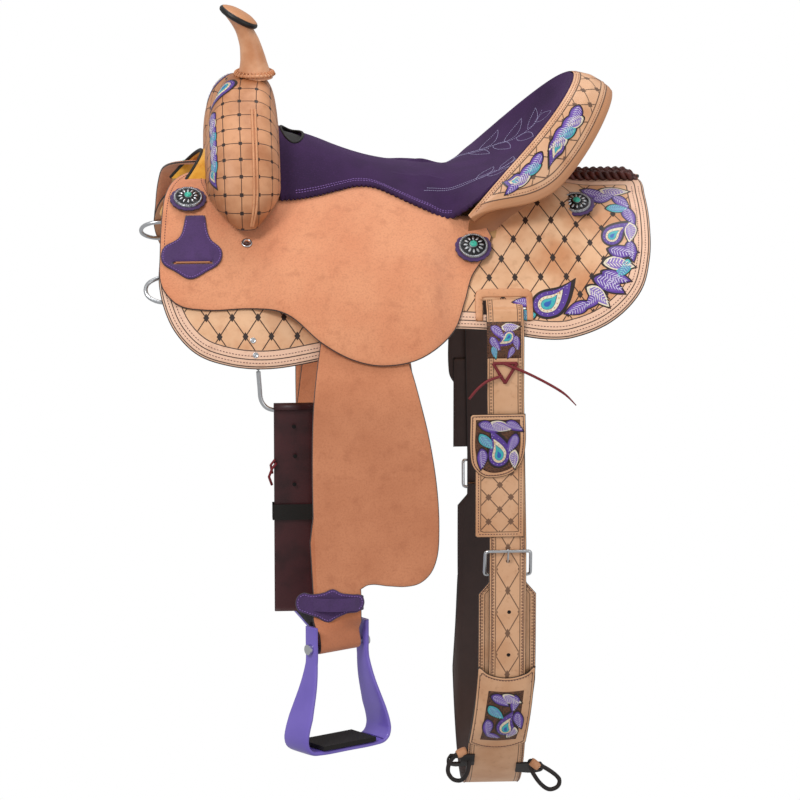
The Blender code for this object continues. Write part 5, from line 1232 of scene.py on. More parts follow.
for word, x, s, level in (("front", -0.290, 0.080, on_jockey), ("middle", 0.090, 0.150, on_jockey),
                          ("rear", 0.233, 0.081, on_skirt)):
    node, spot = f"concho_{word}", on_spot(level, x, s)
    origin, first, second, out = spot
    pair(node, "silver", turned_shape(dome, spot), silver)
    turn = circle(192)[:, None]
    radius = 0.0236 + 0.0012 * np.abs(np.sin(turn * 8))
    edge_line = radius * (np.cos(turn) * first + np.sin(turn) * second)
    low = [origin + edge_line * r + out * h
           for r, h in ((0.7, 0.0029), (0.96, 0.0027), (1.0, 0.0020), (1.0, 0.0006))]
    rosette = {"points": np.vstack(low), "faces": [grid_faces(4, 192, True)],
               "edge": np.repeat([0.01, 0.002, 0.0003, 0.0], 192)}
    pair(node, "rosette", rosette, purple_leather, replaces=False)
    marks = []
    for a in circle(44):
        way, across = math.cos(a) * first + math.sin(a) * second, math.cos(a) * second - math.sin(a) * first
        twist, middle = way * 0.0012 + across * 0.0009, origin + way * 0.0180 + out * 0.0058
        marks.append(tube([middle - twist, middle + twist], 0.00075, 6))
    for a in circle(12):
        way = math.cos(a) * first + math.sin(a) * second
        petal = [origin + way * r + out * (0.0070 - 0.12 * (r - 0.008))
                 for r in (0.0070, 0.0090, 0.0115, 0.0140)]
        marks.append(tube(petal, np.array([0.0006, 0.0014, 0.0017, 0.0006]), 8))
    pair(node, "petals", join(marks), steel, replaces=False)
    pair(node, "stone", turned_shape(stone_top, spot, 24), stone, replaces=False)
for node, x, s, level, radius in (("jockey", -0.213, 0.140, on_jockey, 0.0075),
                                  ("skirt", -0.208, 0.271, on_skirt, 0.0040),
                                  ("skirt", -0.205, 0.290, on_skirt, 0.0040)):
    screw = turned_shape(screw_top * radius, on_spot(level, x, s), 32)
    pair(node, f"screw_{int(-x * 1000)}", screw, steel, replaces=False)


# Latigo keepers: purple suede pieces under the front conchos, slotted for the strap's end. One
# row of lavender stitches runs round them, and a tan lace lies in the slot.

keeper = smooth_line([
    (-0.294, 0.104, 1), (-0.303, 0.132), (-0.326, 0.148), (-0.327, 0.166), (-0.310, 0.179),
    (-0.290, 0.190), (-0.268, 0.180), (-0.249, 0.166), (-0.247, 0.150), (-0.262, 0.134),
    (-0.268, 0.104, 1)])
slit = smooth_line([(-0.312, 0.1655, 1), (-0.312, 0.1685, 1), (-0.260, 0.1685, 1), (-0.260, 0.1655, 1)])


def over_jockey(x, s):
    return jockey_level(x, s) + 0.0043


pair("latigo_keeper", "suede", sheet(keeper, on_saddle, over_jockey, 0.0030, [slit], 0.005, 0.0012),
     purple_leather)
keeper_row = where(inset(keeper, 0.0028), lambda x, s: s > 0.11)
keeper_row = stitches(lambda x, s, h: on_jockey(x, s, h + 0.0033), keeper_row, 0.0036)
pair("latigo_keeper", "stitches", keeper_row, seat_thread, replaces=False)
tan_lace = Look("tan_lace", Roughness=0.6, Base_Color="#B5764C")
slit_lace = tube(on_jockey(np.linspace(-0.309, -0.263, 20), np.full(20, 0.167), 0.0032), 0.0012, 8)
pair("latigo_keeper", "lace", slit_lace, tan_lace, replaces=False)


# Dees: bent steel wire. The big front one carries the latigo, the small one a breast collar.

half, drop_z, dee_out = 0.045, 0.079, 0.218563
bend = [(half - 0.007, 0), (half - 0.0025, -0.002), (half, -0.007), (half, -0.64 * drop_z),
        (half - 0.002, -0.84 * drop_z), (half - 0.008, -0.955 * drop_z), (half - 0.015, -drop_z)]
flat = smooth_line(bend + [(-a, b) for a, b in bend[::-1]], True, 0.003)
path = np.stack([-0.1545 + flat[:, 0], np.full(len(flat), -dee_out), -0.170887 + flat[:, 1]], 1)
pair("rigging_dee", "wire", tube(path, 0.0030, 12, True), steel, "rigging_dee_side")
bend = [(0, 0.015), (-0.003, 0.0185), (-0.010, 0.019), (-0.024, 0.0165), (-0.035, 0.009), (-0.038, 0)]
flat = smooth_line(bend + [(a, -b) for a, b in bend[-2::-1]], True, 0.002)
up_skirt = (0, 0.645744, 0.763554)
path = np.array([-0.3115, -0.171277, -0.095459]) + flat[:, :1] * (1, 0, 0) + flat[:, 1:] * up_skirt
pair("breast_dee", "wire", tube(path, 0.0028, 12, True), steel, "breast_dee_side")


# Latigo: a wide strap of oiled burgundy leather folded over the near dee and held by a black
# keeper, with a red lace through it.


def strap(place, reach, low, high, level, thickness, edge=0.0018, inner=9):
    """A strap with rounded edges. low and high are its sides at each reach."""
    low, high = np.broadcast_to(low, len(reach)), np.broadcast_to(high, len(reach))
    level = np.broadcast_to(level, len(reach))
    gaps = edge * np.array([0, 0.08, 0.35, 1.0])
    width = (high - low)[:, None]
    middle = np.linspace(0, 1, inner)[1:-1]
    cols = np.hstack([low[:, None] + gaps, low[:, None] + edge + (width - 2 * edge) * middle,
                      high[:, None] - gaps[::-1]])
    margin = np.minimum(cols - low[:, None], high[:, None] - cols)
    rise = np.sqrt(1 - (1 - np.minimum(margin / edge, 1))**2)
    rr = np.broadcast_to(np.asarray(reach)[:, None], cols.shape)
    top = place(cols, rr, level[:, None] + thickness / 2 * (1 + rise))
    low_side = place(cols, rr, level[:, None] + thickness / 2 * (1 - rise))[:, ::-1]
    count = cols.shape[1]
    whole = np.concatenate([top, low_side], 1)
    i = np.arange(count - 1)
    end = np.stack([i, i + 1, 2 * count - 2 - i, 2 * count - 1 - i], 1)
    caps = [end, end[:, ::-1] + (len(reach) - 1) * 2 * count]
    flat = np.stack([np.hstack([cols, cols[:, ::-1]]), np.hstack([rr, rr])], -1)
    return {"points": whole.reshape(-1, 3), "faces": [grid_faces(len(reach), 2 * count, True), *caps],
            "uv": flat.reshape(-1, 2), "edge": np.hstack([margin, -margin[:, ::-1]]).ravel()}


def hanging(outward):
    """Places on an upright plane at a distance from the middle: x, depth below 0, height."""
    return lambda x, r, h: np.stack(np.broadcast_arrays(x, -(outward + h), -np.asarray(r)), -1)


burgundy = Look("latigo_leather", Roughness=0.5)
shade = burgundy.mix(burgundy.noise(30).step(0.35, 0.75), "#451A1E", "#2C0D11")
shade = burgundy.mix(burgundy.attribute("edge").step(0.0012, 0.0005), shade, "#2A0B0E")
burgundy.put(Base_Color=shade).raised(burgundy.noise(500) * 0.0001)
web = Look("black_webbing", Roughness=0.8, Base_Color="#16130F")
web.raised(web.noise(900) * 0.0002)
red_lace = Look("red_lace", Roughness=0.6, Base_Color="#7A1E26")
front, rear = -0.181, -0.128
down = np.linspace(0.250, 0.530, 40)
plies = [strap(hanging(dee_out + side * 0.0021 - 0.0018), down, front, rear, 0.0, 0.0037)
         for side in (-1, 1)]
corners = ((front, 0.0068), (rear, 0.0068), (rear, 0.0036), (front, 0.0036))
fold = [[(x, -dee_out - r * math.cos(a), -0.2480 + r * math.sin(a)) for x, r in corners]
        for a in np.radians(np.linspace(-8, 188, 24))]
plies.append({"points": np.reshape(fold, (-1, 3)), "faces": [grid_faces(24, 4, True)],
              "uv": np.zeros((96, 2)), "edge": np.full(96, 0.01)})
add("latigo_left_leather", join(plies), burgundy, "latigo", "latigo_left")
loop = [(-0.1835, -0.2115), (-0.1835, -0.2255), (-0.1255, -0.2255), (-0.1255, -0.2115)]
loop = smooth_line([(a, b, 1) for a, b in loop], True, 0.002)
sides = [np.stack([loop[:, 0], loop[:, 1], np.full(len(loop), z)], 1) for z in (-0.380, -0.391, -0.4015)]
band = {"points": np.vstack(sides), "faces": [grid_faces(3, len(loop), True)]}
add("latigo_end_keeper_band", band, web, "latigo", "latigo_end_keeper")
clip = tube([(-0.128, -0.2262, -0.383), (-0.121, -0.2262, -0.383), (-0.121, -0.2262, -0.399),
             (-0.128, -0.2262, -0.399)], 0.0016, 8)
add("latigo_end_keeper_clip", clip, web, "latigo", "latigo_end_keeper", replaces=False)
lace = [tube([(-0.178, -0.2262, -0.322), (-0.184, -0.2262, -0.330), (-0.188, -0.2230, -0.342),
              (-0.184, -0.2200, -0.354)], 0.0018, 8),
        tube([(-0.180, -0.2240, -0.318), (-0.1855, -0.2215, -0.326), (-0.1835, -0.2200, -0.338)], 0.0018,
             8)]
add("latigo_left_lace", join(lace), red_lace, "latigo", "latigo_left", replaces=False)
hole_shade = Look("punched_hole_shade", Roughness=0.9, Base_Color="#0B0605")


def punched(spots, radius):
    """Round holes as flat near-black discs, painted shade in the holes, at places on upright leather that
    faces outward.
    """
    hollow = np.array([(radius, 0), (radius - 0.0004, 0.0002), (0, 0.0002)])
    axes = np.array([(1.0, 0, 0), (0, 0, 1.0), (0, -1.0, 0)])
    return join([turned_shape(hollow, (spot, *axes), 20) for spot in spots])


spots = [np.array([x, -0.2261, z]) for x, z in ((-0.1544, -0.272), (-0.1528, -0.313), (-0.154, -0.352))]
add("latigo_left_holes", punched(spots, 0.0028), hole_shade, "latigo", "latigo_left", replaces=False)


# Fenders: broad rough-out leathers under the rider's legs, bare dark edges, sewn to the
# stirrup leathers that carry the weight.


def form(path, last):
    """A path of (outward, up) places. Gives places at x, reach and height above the path."""
    path = np.asarray(path, float)
    length = np.concatenate([[0], np.cumsum(np.linalg.norm(np.diff(path, axis=0), axis=1))])
    length += last - length[-1]
    way = unit(np.gradient(path, length, axis=0))

    def place(x, r, h):
        found = [np.interp(r, length, values)
                 for values in (path[:, 0], path[:, 1], way[:, 0], way[:, 1])]
        return np.stack(np.broadcast_arrays(x, -(found[0] - found[3] * h), found[1] + found[2] * h), -1)

    return place, length, path


slope = np.radians(np.interp(np.arange(-0.063, 0.4601, 0.001), (0.070, 0.1307), (59.27, 86)))
walk = np.stack([np.cos(slope), -np.sin(slope)], 1) * 0.001
walk = np.vstack([[0, 0], np.cumsum(walk, 0)])
walk = walk + np.array([0.209029, -0.132099]) - walk[63]
on_fender, _, _ = form(walk, walk.shape[0] * 0.001 - 0.001 - 0.063)
fender = smooth_line([
    (-0.068, -0.055), (-0.100, -0.045), (-0.119, -0.015), (-0.119, 0.030), (-0.124, 0.064),
    (-0.130, 0.113), (-0.1325, 0.190), (-0.131, 0.303), (-0.129, 0.356), (-0.128, 0.382, 1),
    (-0.070, 0.382, 1), (-0.069, 0.365, 1), (-0.058, 0.359), (-0.030, 0.361), (-0.008, 0.362),
    (0.010, 0.358), (0.025, 0.345), (0.034, 0.323), (0.037, 0.285), (0.034, 0.225), (0.023, 0.155),
    (0.010, 0.102), (0.000, 0.066), (-0.012, 0.030), (-0.017, -0.015), (-0.036, -0.045)])
fender_leather = roughout("fender_roughout", "#D58A61", "#C77C54", 0.0013)
pair("fender", "leather", sheet(fender, on_fender, 0.0043, 0.0045), fender_leather, "fender_side")


# Stirrup leathers: plain straps that turn a quarter below the fender, pass round the stirrup
# bolt and come back up.


BEND_END = math.radians(86)
INWARD = np.array([0, math.sin(BEND_END), -math.cos(BEND_END)])
UPWARD = np.array([0, math.cos(BEND_END), math.sin(BEND_END)])
TWISTS = (("left", math.radians(35)), ("right", math.radians(75)))


def leg(r, share, h, twist):
    """share goes across the strap from -1 to 1, h out from the middle of the two plies."""
    middle = on_fender(np.interp(r, (0, 0.30, 0.37), (-0.068, -0.104, -0.100)), r, 0.00415)
    t = np.clip((r - 0.400) / 0.024, 0, 1)
    turn = (twist * t**2 * (3 - 2 * t))[..., None]
    side = np.cos(turn) * (1.0, 0, 0) + np.sin(turn) * INWARD
    out = np.sin(turn) * (1.0, 0, 0) - np.cos(turn) * INWARD
    half = np.interp(r, (0.30, 0.40, 0.44), (0.032, 0.0325, 0.0345))
    return middle + side * (share * half)[..., None] + out * np.asarray(h)[..., None]


leather_edge = roughout("leather_strap", "#CF8258", "#BE7048", 0.0012)
for node, twist in TWISTS:
    down = np.linspace(0.0, 0.440, 120)
    gap = 0.0022 + 0.0042 * np.clip((down - 0.405) / 0.030, 0, 1)**2
    line_r = np.concatenate([down, np.full(13, 0.440), down[::-1]])
    t = np.linspace(0, np.pi, 13)
    line_h = np.concatenate([gap, 0.0064 * np.cos(t), -gap[::-1]])
    drop_by = np.concatenate([np.zeros(120), 0.0064 * np.sin(t), np.zeros(120)])
    shares = np.array([-1, -0.995, -0.97, -0.9, -0.45, 0, 0.45, 0.9, 0.97, 0.995, 1])
    rise = np.sqrt(1 - (1 - np.minimum((1 - np.abs(shares)) / 0.07, 1))**2) * 0.00195
    rows, heights = np.broadcast_arrays(line_r[:, None], line_h[:, None] + 0 * shares)
    middle_line = leg(rows, shares, heights, twist) - drop_by[:, None, None] * UPWARD
    along = np.gradient(middle_line[:, 5], axis=0)
    across_leg = unit(middle_line[:, -1] - middle_line[:, 0])
    normal = unit(np.cross(along, across_leg))[:, None]
    whole = np.concatenate([middle_line + normal * rise[:, None],
                            (middle_line - normal * rise[:, None])[:, ::-1]], 1)
    margin = (1 - np.abs(shares)) * 0.03
    shape = {"points": whole.reshape(-1, 3), "faces": [grid_faces(len(line_r), 22, True)],
             "edge": np.tile(np.concatenate([margin, margin[::-1]]), len(line_r))}
    add(f"stirrup_leather_{node}_strap", shape, leather_edge, f"fender_{node}", f"stirrup_leather_{node}",
        mirror=node == "right")


# Hobble straps: lobed purple suede bands that hold the two plies together above the stirrup.

lobes = smooth_line([
    (-0.1545, 0.372), (-0.153, 0.389), (-0.142, 0.394), (-0.128, 0.399), (-0.112, 0.406),
    (-0.100, 0.400), (-0.086, 0.394), (-0.072, 0.392), (-0.064, 0.382), (-0.067, 0.370),
    (-0.080, 0.368), (-0.094, 0.366), (-0.106, 0.3605), (-0.118, 0.365), (-0.134, 0.367),
    (-0.146, 0.365)])
lobes = lobes + (0.0, 0.002)
pair("hobble_strap", "suede", sheet(lobes, on_fender, 0.0092, 0.0026, (), 0.004, 0.0011), purple_leather,
     "fender_side")
sewn = stitches(lambda x, r, h: on_fender(x, r, 0.0118 + h), inset(lobes, 0.0030), 0.0036)
pair("hobble_strap", "stitches", sewn, seat_thread, "fender_side", False)
around = smooth_line([
    (-0.135, 0.0100), (-0.138, 0.004), (-0.135, -0.0050, 1), (-0.0675, -0.0050, 1), (-0.0645, 0.004),
    (-0.0675, 0.0100)], True, 0.003)
band = [on_fender(around[:, 0], np.full(len(around), r), around[:, 1]) for r in (0.374, 0.383, 0.392)]
band = {"points": np.vstack(band), "faces": [grid_faces(3, len(around), True)],
        "edge": np.full(3 * len(around), 0.01)}
pair("hobble_strap", "band", band, purple_leather, "fender_side", False)


# Stirrups: bent aluminium painted purple, with a grooved black rubber tread and a steel bolt.

violet = grained("violet_paint", "#7C68C8", "#6A58B6", 12, 0.3, 0.8, Roughness=0.38, Coat_Weight=0.3)
rubber = Look("black_rubber", Roughness=0.85, Base_Color="#15110F")
place_in = rubber.node("SeparateXYZ", (rubber.node("TexCoord", output="Object"),), output=0)
rubber.raised((fraction(place_in * 160) - 0.5).math("ABSOLUTE") * 0.0010)
side_path = [
    (0.043, 0.030), (0.043, 0.008), (0.043, -0.016), (0.048, -0.046), (0.060, -0.085), (0.068, -0.110),
    (0.0695, -0.121), (0.0665, -0.131), (0.059, -0.1365), (0.048, -0.138)]
whole_path = smooth_line(side_path + [(0.0, -0.1385)] + [(-a, b) for a, b in side_path[::-1]], False,
                         0.003)
way = unit(np.gradient(whole_path, axis=0))
normal = np.stack([-way[:, 1], way[:, 0]], 1)
depth = np.interp(whole_path[:, 1], (-0.138, -0.090, -0.020), (0.052, 0.048, 0.022)) / 2
turn = np.radians(np.arange(0, 360, 12))
oval = np.stack([np.sign(np.cos(turn)) * np.abs(np.cos(turn))**0.35,
                 np.sign(np.sin(turn)) * np.abs(np.sin(turn))**0.5], 1)
for node, twist in TWISTS:
    side = np.array([1, 1 if node == "left" else -1, 1])
    bolt = np.array([-0.1, -0.288464, -0.557933]) * side
    axis = (math.cos(twist) * np.array([1.0, 0, 0]) + math.sin(twist) * INWARD) * side
    inward = (math.cos(twist) * INWARD - math.sin(twist) * np.array([1.0, 0, 0])) * side
    flat = whole_path[:, None] + normal[:, None] * oval[:, 1:] * 0.00325
    points = bolt + flat[..., :1] * axis + flat[..., 1:] * UPWARD * side
    points = points + (depth[:, None] * oval[:, 0])[..., None] * inward
    ends = [np.arange(len(turn))[None] + start for start in (0, (len(whole_path) - 1) * len(turn))]
    shape = {"points": points.reshape(-1, 3),
             "faces": [grid_faces(len(whole_path), len(turn), True), *ends]}
    add(f"stirrup_{node}_frame", shape, violet, f"stirrup_{node}", f"stirrup_{node}")
    for part_name, look in (("stirrup_tread", rubber), ("stirrup_bolt", steel)):
        solid = frame["nodes"][f"{part_name}_{node}"]
        solid.data.materials.clear()
        solid.data.materials.append(look.material)
        bevel = solid.modifiers.new("edge", "BEVEL")
        bevel.width, bevel.segments, bevel.limit_method, bevel.angle_limit = 0.0007, 2, "ANGLE", 0.7


# Slot frames and rear billets: a framed slot in each skirt lets out a stamped strap with a
# painted panel, tied by a red lace. The flesh side of every rear strap is dark brown: its own
# colour, darkened as painted shade on the straps' inner faces.


def strap_leather(name, wide, tall, u0, v0, stamps=0.0055, grooves=(0.0030, 0.0085), field_from=0.0095,
                  plain_to=0):
    look = Look(name, Roughness=0.48)
    u, v = look.pattern()
    edge = look.attribute("edge")
    lines, dots = lattice(u, v, wide, tall, u0, v0)
    field = edge.step(field_from, field_from + 0.0006) * v.step(plain_to, plain_to + 0.0006)
    cut = (lines * field).math("MAXIMUM", dots * field)
    for depth in grooves:
        cut = cut.math("MAXIMUM", (edge - depth).math("ABSOLUTE").step(0.0008, 0.0002))
    if stamps:
        beat = (fraction(v * 220 + 50) - 0.5).math("ABSOLUTE").step(0.34, 0.24)
        cut = cut.math("MAXIMUM", beat * (edge - stamps).math("ABSOLUTE").step(0.0016, 0.0009) * 0.7)
    base = look.mix(look.noise(18).step(0.35, 0.75), "#E3B189", "#D0976C")
    base = look.mix(look.noise(150).step(0.55, 0.8) * 0.35, base, "#A97149")
    base = look.mix(cut * 0.8, base, "#4A2D20")
    base = look.mix(edge.step(0.0011, 0.0005), base, "#17100D")
    # The flesh side is dark brown: the leather's own colour darkened as painted shade on the inner faces.
    base = look.mix(edge.step(-0.0006, -0.0012), base, look.mix(look.noise(40), "#3E2925", "#2B1B18"))
    look.put(Base_Color=base)
    return look.raised(look.noise(700) * 0.00006 - cut * 0.0005)


frame_outline = smooth_line([
    (0.0895, 0.2500, 1), (0.0895, 0.2190, 1), (0.0910, 0.2125), (0.0952, 0.2083), (0.1015, 0.2068, 1),
    (0.1545, 0.2068, 1), (0.1608, 0.2083), (0.1650, 0.2125), (0.1665, 0.2190, 1), (0.1665, 0.2500, 1),
    (0.1580, 0.2500, 1), (0.1580, 0.2225, 1), (0.1569, 0.2191), (0.1535, 0.2180, 1),
    (0.1035, 0.2180, 1), (0.1001, 0.2191), (0.0990, 0.2225, 1), (0.0990, 0.2500, 1)])
pair("skirt", "slot_frame", sheet(frame_outline, on_saddle, 0.0154, 0.0022, (), 0.005, 0.001), plain,
     replaces=False)


def drift(z):
    return np.interp(z, (-0.836, -0.736, -0.636, -0.4395, -0.2345), (-0.006, -0.006, 0.004, 0.004, 0))


knees = ((0.220, 0.0120), (0.227, 0.0135), (0.233, 0.0150), (0.2385, 0.0213), (0.2620, 0.0213))
knees = [on_saddle(0.0, s, h)[..., [1, 2]] * (-1, 1) for s, h in knees]
last = on_saddle(0.0, 0.2725, 0.0213)[2] - 0.003
cinch_turn = np.linspace(0, np.pi, 400)
cinch_out, billet_out = 0.215982, 0.226282
belly = np.stack([cinch_out * np.cos(cinch_turn), -0.560 - 0.276 * np.sin(cinch_turn)], 1)
upright = [(cinch_out, z) for z in np.linspace(-0.482, -0.558, 30)]
cinch_path = np.vstack([[(cinch_out, -0.4790)], upright, belly])
on_cinch, cinch_reach, _ = form(cinch_path, 0.0)
_, half_reach, _ = form(cinch_path, cinch_reach[-1] - cinch_reach[0] + 0.4790)
on_cinch, cinch_reach, _ = form(cinch_path, half_reach[-1])
below = np.linspace(0.561, 0.702, 60)
inner_part = on_cinch(0.0, below, 0.0103)[..., [1, 2]] * (-1, 1)
upright = [(billet_out, z) for z in np.linspace(last - 0.02, -0.556, 60)]
line = np.vstack([knees, [(billet_out, last)], upright, inner_part])
length = np.concatenate([[0], np.cumsum(np.linalg.norm(np.diff(line, axis=0), axis=1))])
even = np.linspace(0, length[-1], 500)
line = np.stack([np.interp(even, length, line[:, k]) for k in (0, 1)], 1)
on_billet, billet_reach, billet_line = form(eased(line, 6), 0.702)


def billet_r(z):
    return np.interp(-np.asarray(z), -billet_line[:, 1], billet_reach)


reach = np.linspace(billet_reach[0], 0.702, 260)
middle = 0.1285 + drift(np.interp(reach, billet_reach, billet_line[:, 1]))
billet_look = strap_leather("billet_leather", 0.034, 0.060, 0.1325, 0.440, plain_to=0.33)
pair("rear_billet", "leather", strap(on_billet, reach, middle - 0.025, middle + 0.025, -0.002, 0.004),
     billet_look, "rear_cinch")


def on_billet_face(x, r, h):
    return on_billet(x, r, 0.002 + h)


edges = [np.stack([0.1285 + drift(-reach) + side * 0.0205, reach], 1)[70:235] for side in (-1, 1)]
pair("rear_billet", "stitches", stitches(on_billet_face, edges, 0.0040), dark_thread, "rear_cinch", False)
ground_look = Look("dark_ground", Roughness=0.6)
stipple = ground_look.noise(700).step(0.45, 0.6)
ground_look.put(Base_Color=ground_look.mix(stipple, "#6B4128", "#2B1A12"))
panel_field = smooth_line([(0.1035, 0.128, 1), (0.1035, 0.177, 1), (0.1490, 0.177, 1),
                           (0.1490, 0.128, 1)])
pair("rear_billet", "panel", sheet(panel_field, on_billet_face, 0.0, 0.0004, (), 0.004, 0.0003),
     ground_look, "rear_cinch", False)
painted("rear_billet", "paint", on_billet_face, ((0.130, 0.153, 0.030, 118, 1),), (
    (0.108, 0.134, 0.020, 30, 1, PURPLE), (0.122, 0.1345, 0.020, 14, -1, CREAM),
    (0.109, 0.147, 0.018, 70, -1, PURPLE), (0.110, 0.160, 0.014, 60, 1, TEAL),
    (0.1425, 0.146, 0.016, 96, -1, PURPLE), (0.1385, 0.160, 0.014, 100, 1, PURPLE)), "rear_cinch")


def spread(points, count):
    """Points between the given ones, evenly spaced by their numbers."""
    points = np.array(points)
    step = np.linspace(0, len(points) - 1, count)
    return np.stack([np.interp(step, np.arange(len(points)), points[:, k]) for k in range(3)], 1)


knot = [(0.1115, 0.1835), (0.1435, 0.1835), (0.1276, 0.211)]
knot = [on_billet_face(np.linspace(a[0], b[0], 12), np.linspace(a[1], b[1], 12), 0.0016)
        for a, b in zip(knot, knot[1:] + knot[:1])]
tails = [
    [(0.124, -0.2305, -0.187), (0.136, -0.2325, -0.192), (0.153, -0.2325, -0.199),
     (0.180, -0.2325, -0.213), (0.208, -0.232, -0.230), (0.2227, -0.231, -0.247)],
    [(0.124, -0.2305, -0.205), (0.112, -0.2325, -0.208), (0.102, -0.2325, -0.212),
     (0.090, -0.2325, -0.222), (0.0794, -0.232, -0.236)]]
laces = [tube(k, 0.0021, 8) for k in knot]
for tail in tails:
    thin = np.interp(np.linspace(0, len(tail) - 1, 30), (0, 3.8, 5), (0.0020, 0.0018, 0.0007))
    laces.append(tube(eased(spread(tail, 30), 8), thin, 8))
pair("rear_billet", "lace", join(laces), red_lace, "rear_cinch", False)
spots = ((0.1325, -0.4630), (0.1345, -0.5347), (0.1340, -0.5952))
spots = [on_billet_face(np.array(x), billet_r(z), 0.0001) for x, z in spots]
pair("rear_billet", "holes", punched(spots, 0.0026), hole_shade, "rear_cinch", False)


# Billet panels and shield flaps: a tooled panel laid on the strap and a painted flap with a
# rounded foot over its upper half.

panel_look = strap_leather("panel_leather", 0.030, 0.034, 0.121, 0.390, 0, (0.0075,), 0.0080)
panel = smooth_line([(0.088, 0.300, 1), (0.088, 0.429, 1), (0.154, 0.429, 1), (0.154, 0.300, 1)])
pair("billet_panel", "leather", sheet(panel, hanging(0.2286), 0.0, 0.0025, (), 0.005, 0.0012), panel_look,
     "rear_cinch")
shield = smooth_line([
    (0.081, 0.257, 1), (0.081, 0.313), (0.083, 0.326), (0.089, 0.336), (0.100, 0.344), (0.114, 0.345),
    (0.130, 0.342), (0.142, 0.335), (0.151, 0.322), (0.155, 0.303), (0.155, 0.257, 1)])
shield_look = strap_leather("shield_leather", 0.030, 0.034, 0.118, 0.300, 0, (0.0030,), 0.0500)
pair("billet_shield", "leather", sheet(shield, hanging(0.2314), 0.0, 0.0025, (), 0.005, 0.0012),
     shield_look, "rear_cinch")
for node, face, shape, gap in (("billet_panel", hanging(0.2311), panel, 0.0045),
                               ("billet_shield", hanging(0.2339), shield, 0.0036)):
    pair(node, "stitches", stitches(face, inset(shape, gap), 0.0038), dark_thread, "rear_cinch", False)
shield_field = smooth_line([
    (0.0885, 0.2645, 1), (0.0885, 0.312), (0.094, 0.329), (0.106, 0.337), (0.126, 0.336),
    (0.141, 0.327), (0.1475, 0.306), (0.1475, 0.2645, 1)])
pair("billet_shield", "ground", sheet(shield_field, hanging(0.2339), 0.0, 0.0004, (), 0.004, 0.0003),
     ground_look, "rear_cinch", False)
painted("billet_shield", "paint", hanging(0.2343), ((0.121, 0.305, 0.048, -80, -1),), (
    (0.092, 0.270, 0.022, 10, 1, PURPLE), (0.108, 0.268, 0.024, 30, -1, CREAM),
    (0.128, 0.269, 0.020, 12, 1, PURPLE), (0.094, 0.284, 0.022, 60, -1, TEAL),
    (0.096, 0.304, 0.022, 78, 1, PURPLE), (0.142, 0.284, 0.022, 100, 1, PURPLE),
    (0.141, 0.306, 0.020, 104, -1, CREAM)), "rear_cinch")


# Flank cinch: one stamped strap under the belly from buckle to buckle.


def cinch_z(r):
    return np.interp(r, cinch_reach, cinch_path[:, 1])


lowest = np.interp(0.0, -cinch_path[:, 0], cinch_reach)
reach = np.linspace(0.4795, lowest, 220)
half = np.interp(cinch_z(reach), (-0.5115, -0.4955), (0.039, 0.0255))
middle = 0.1285 + drift(cinch_z(reach))
cinch_look = strap_leather("cinch_leather", 0.040, 0.066, 0.1325, 0.530, 0.0050, (0.0030, 0.0085), 0.0900)
near_half = strap(on_cinch, reach, middle - half, middle + half, 0.0, 0.005)
add("flank_cinch_leather", join([near_half, mirrored(near_half)]), cinch_look, "rear_cinch",
    "flank_cinch")


def on_cinch_face(x, r, h):
    return on_cinch(x, r, 0.005 + h)


rows = [np.stack([0.1285 + drift(cinch_z(reach)) + side * (half - 0.0022), reach], 1) for side in (-1, 1)]
sewn = stitches(on_cinch_face, rows, 0.0042)
add("flank_cinch_stitches", join([sewn, mirrored(sewn)]), dark_thread, "rear_cinch", "flank_cinch",
    replaces=False)


# Buckle pockets: stitched leather sleeves on the cinch that take the strap ends, each with a
# small painted panel.


def pocket_level(x, r):
    across = np.abs(x - 0.1285 - drift(cinch_z(r)))
    lift = np.clip((0.0365 - across) / 0.009, 0, 1) * np.clip((0.738 - r) / 0.030, 0, 1)
    return 0.0053 + 0.0075 * lift * lift * (3 - 2 * lift)


def on_pocket(x, r, h):
    return on_cinch(x, r, pocket_level(x, r) + 0.0025 + h)


def slanted(points):
    """Outline points (across the cinch, reach), moved with the cinch's drift."""
    return smooth_line([(0.1285 + drift(cinch_z(p[1])) + p[0], *p[1:]) for p in points])


pocket = slanted([
    (-0.039, 0.6135, 1), (-0.018, 0.6235), (0.0, 0.6265), (0.018, 0.6235), (0.039, 0.6135, 1),
    (0.039, 0.678), (0.039, 0.7415, 1), (0.018, 0.751), (0.0, 0.7535), (-0.018, 0.751),
    (-0.039, 0.7415, 1), (-0.039, 0.678)])
pocket_look = strap_leather("pocket_leather", 0.030, 0.034, 0.118, 0.300, 0, (0.0035,), 0.0900)
pair("cinch_pocket", "leather", sheet(pocket, on_cinch, pocket_level, 0.0025, (), 0.005, 0.0012),
     pocket_look, "rear_cinch")
pair("cinch_pocket", "stitches", stitches(on_pocket, inset(pocket, 0.0042), 0.0040), dark_thread,
     "rear_cinch", False)
pocket_field = slanted([
    (-0.024, 0.645, 1), (0.0, 0.647), (0.024, 0.645, 1), (0.0245, 0.69), (0.0245, 0.733, 1),
    (0.0, 0.736), (-0.0245, 0.733, 1), (-0.0245, 0.69)])
pair("cinch_pocket", "ground", sheet(pocket_field, on_pocket, 0.0, 0.0004, (), 0.004, 0.0003),
     ground_look, "rear_cinch", False)
pocket_drop = ((0.131, 0.700, 0.040, -100, 1),)
painted("cinch_pocket", "paint", lambda x, r, h: on_pocket(x, r, h + 0.0004), pocket_drop, (
    (0.1115, 0.653, 0.022, 20, 1, PURPLE), (0.127, 0.651, 0.022, 40, -1, CREAM),
    (0.144, 0.652, 0.020, 84, 1, PURPLE), (0.109, 0.668, 0.022, 60, -1, TEAL),
    (0.107, 0.690, 0.022, 78, 1, PURPLE), (0.148, 0.678, 0.022, 92, -1, PURPLE),
    (0.145, 0.704, 0.020, 100, 1, CREAM), (0.107, 0.714, 0.018, 50, -1, PURPLE)), "rear_cinch")


# Cinch buckles and tongues: bent steel wire, the tongue through a hole of the strap.

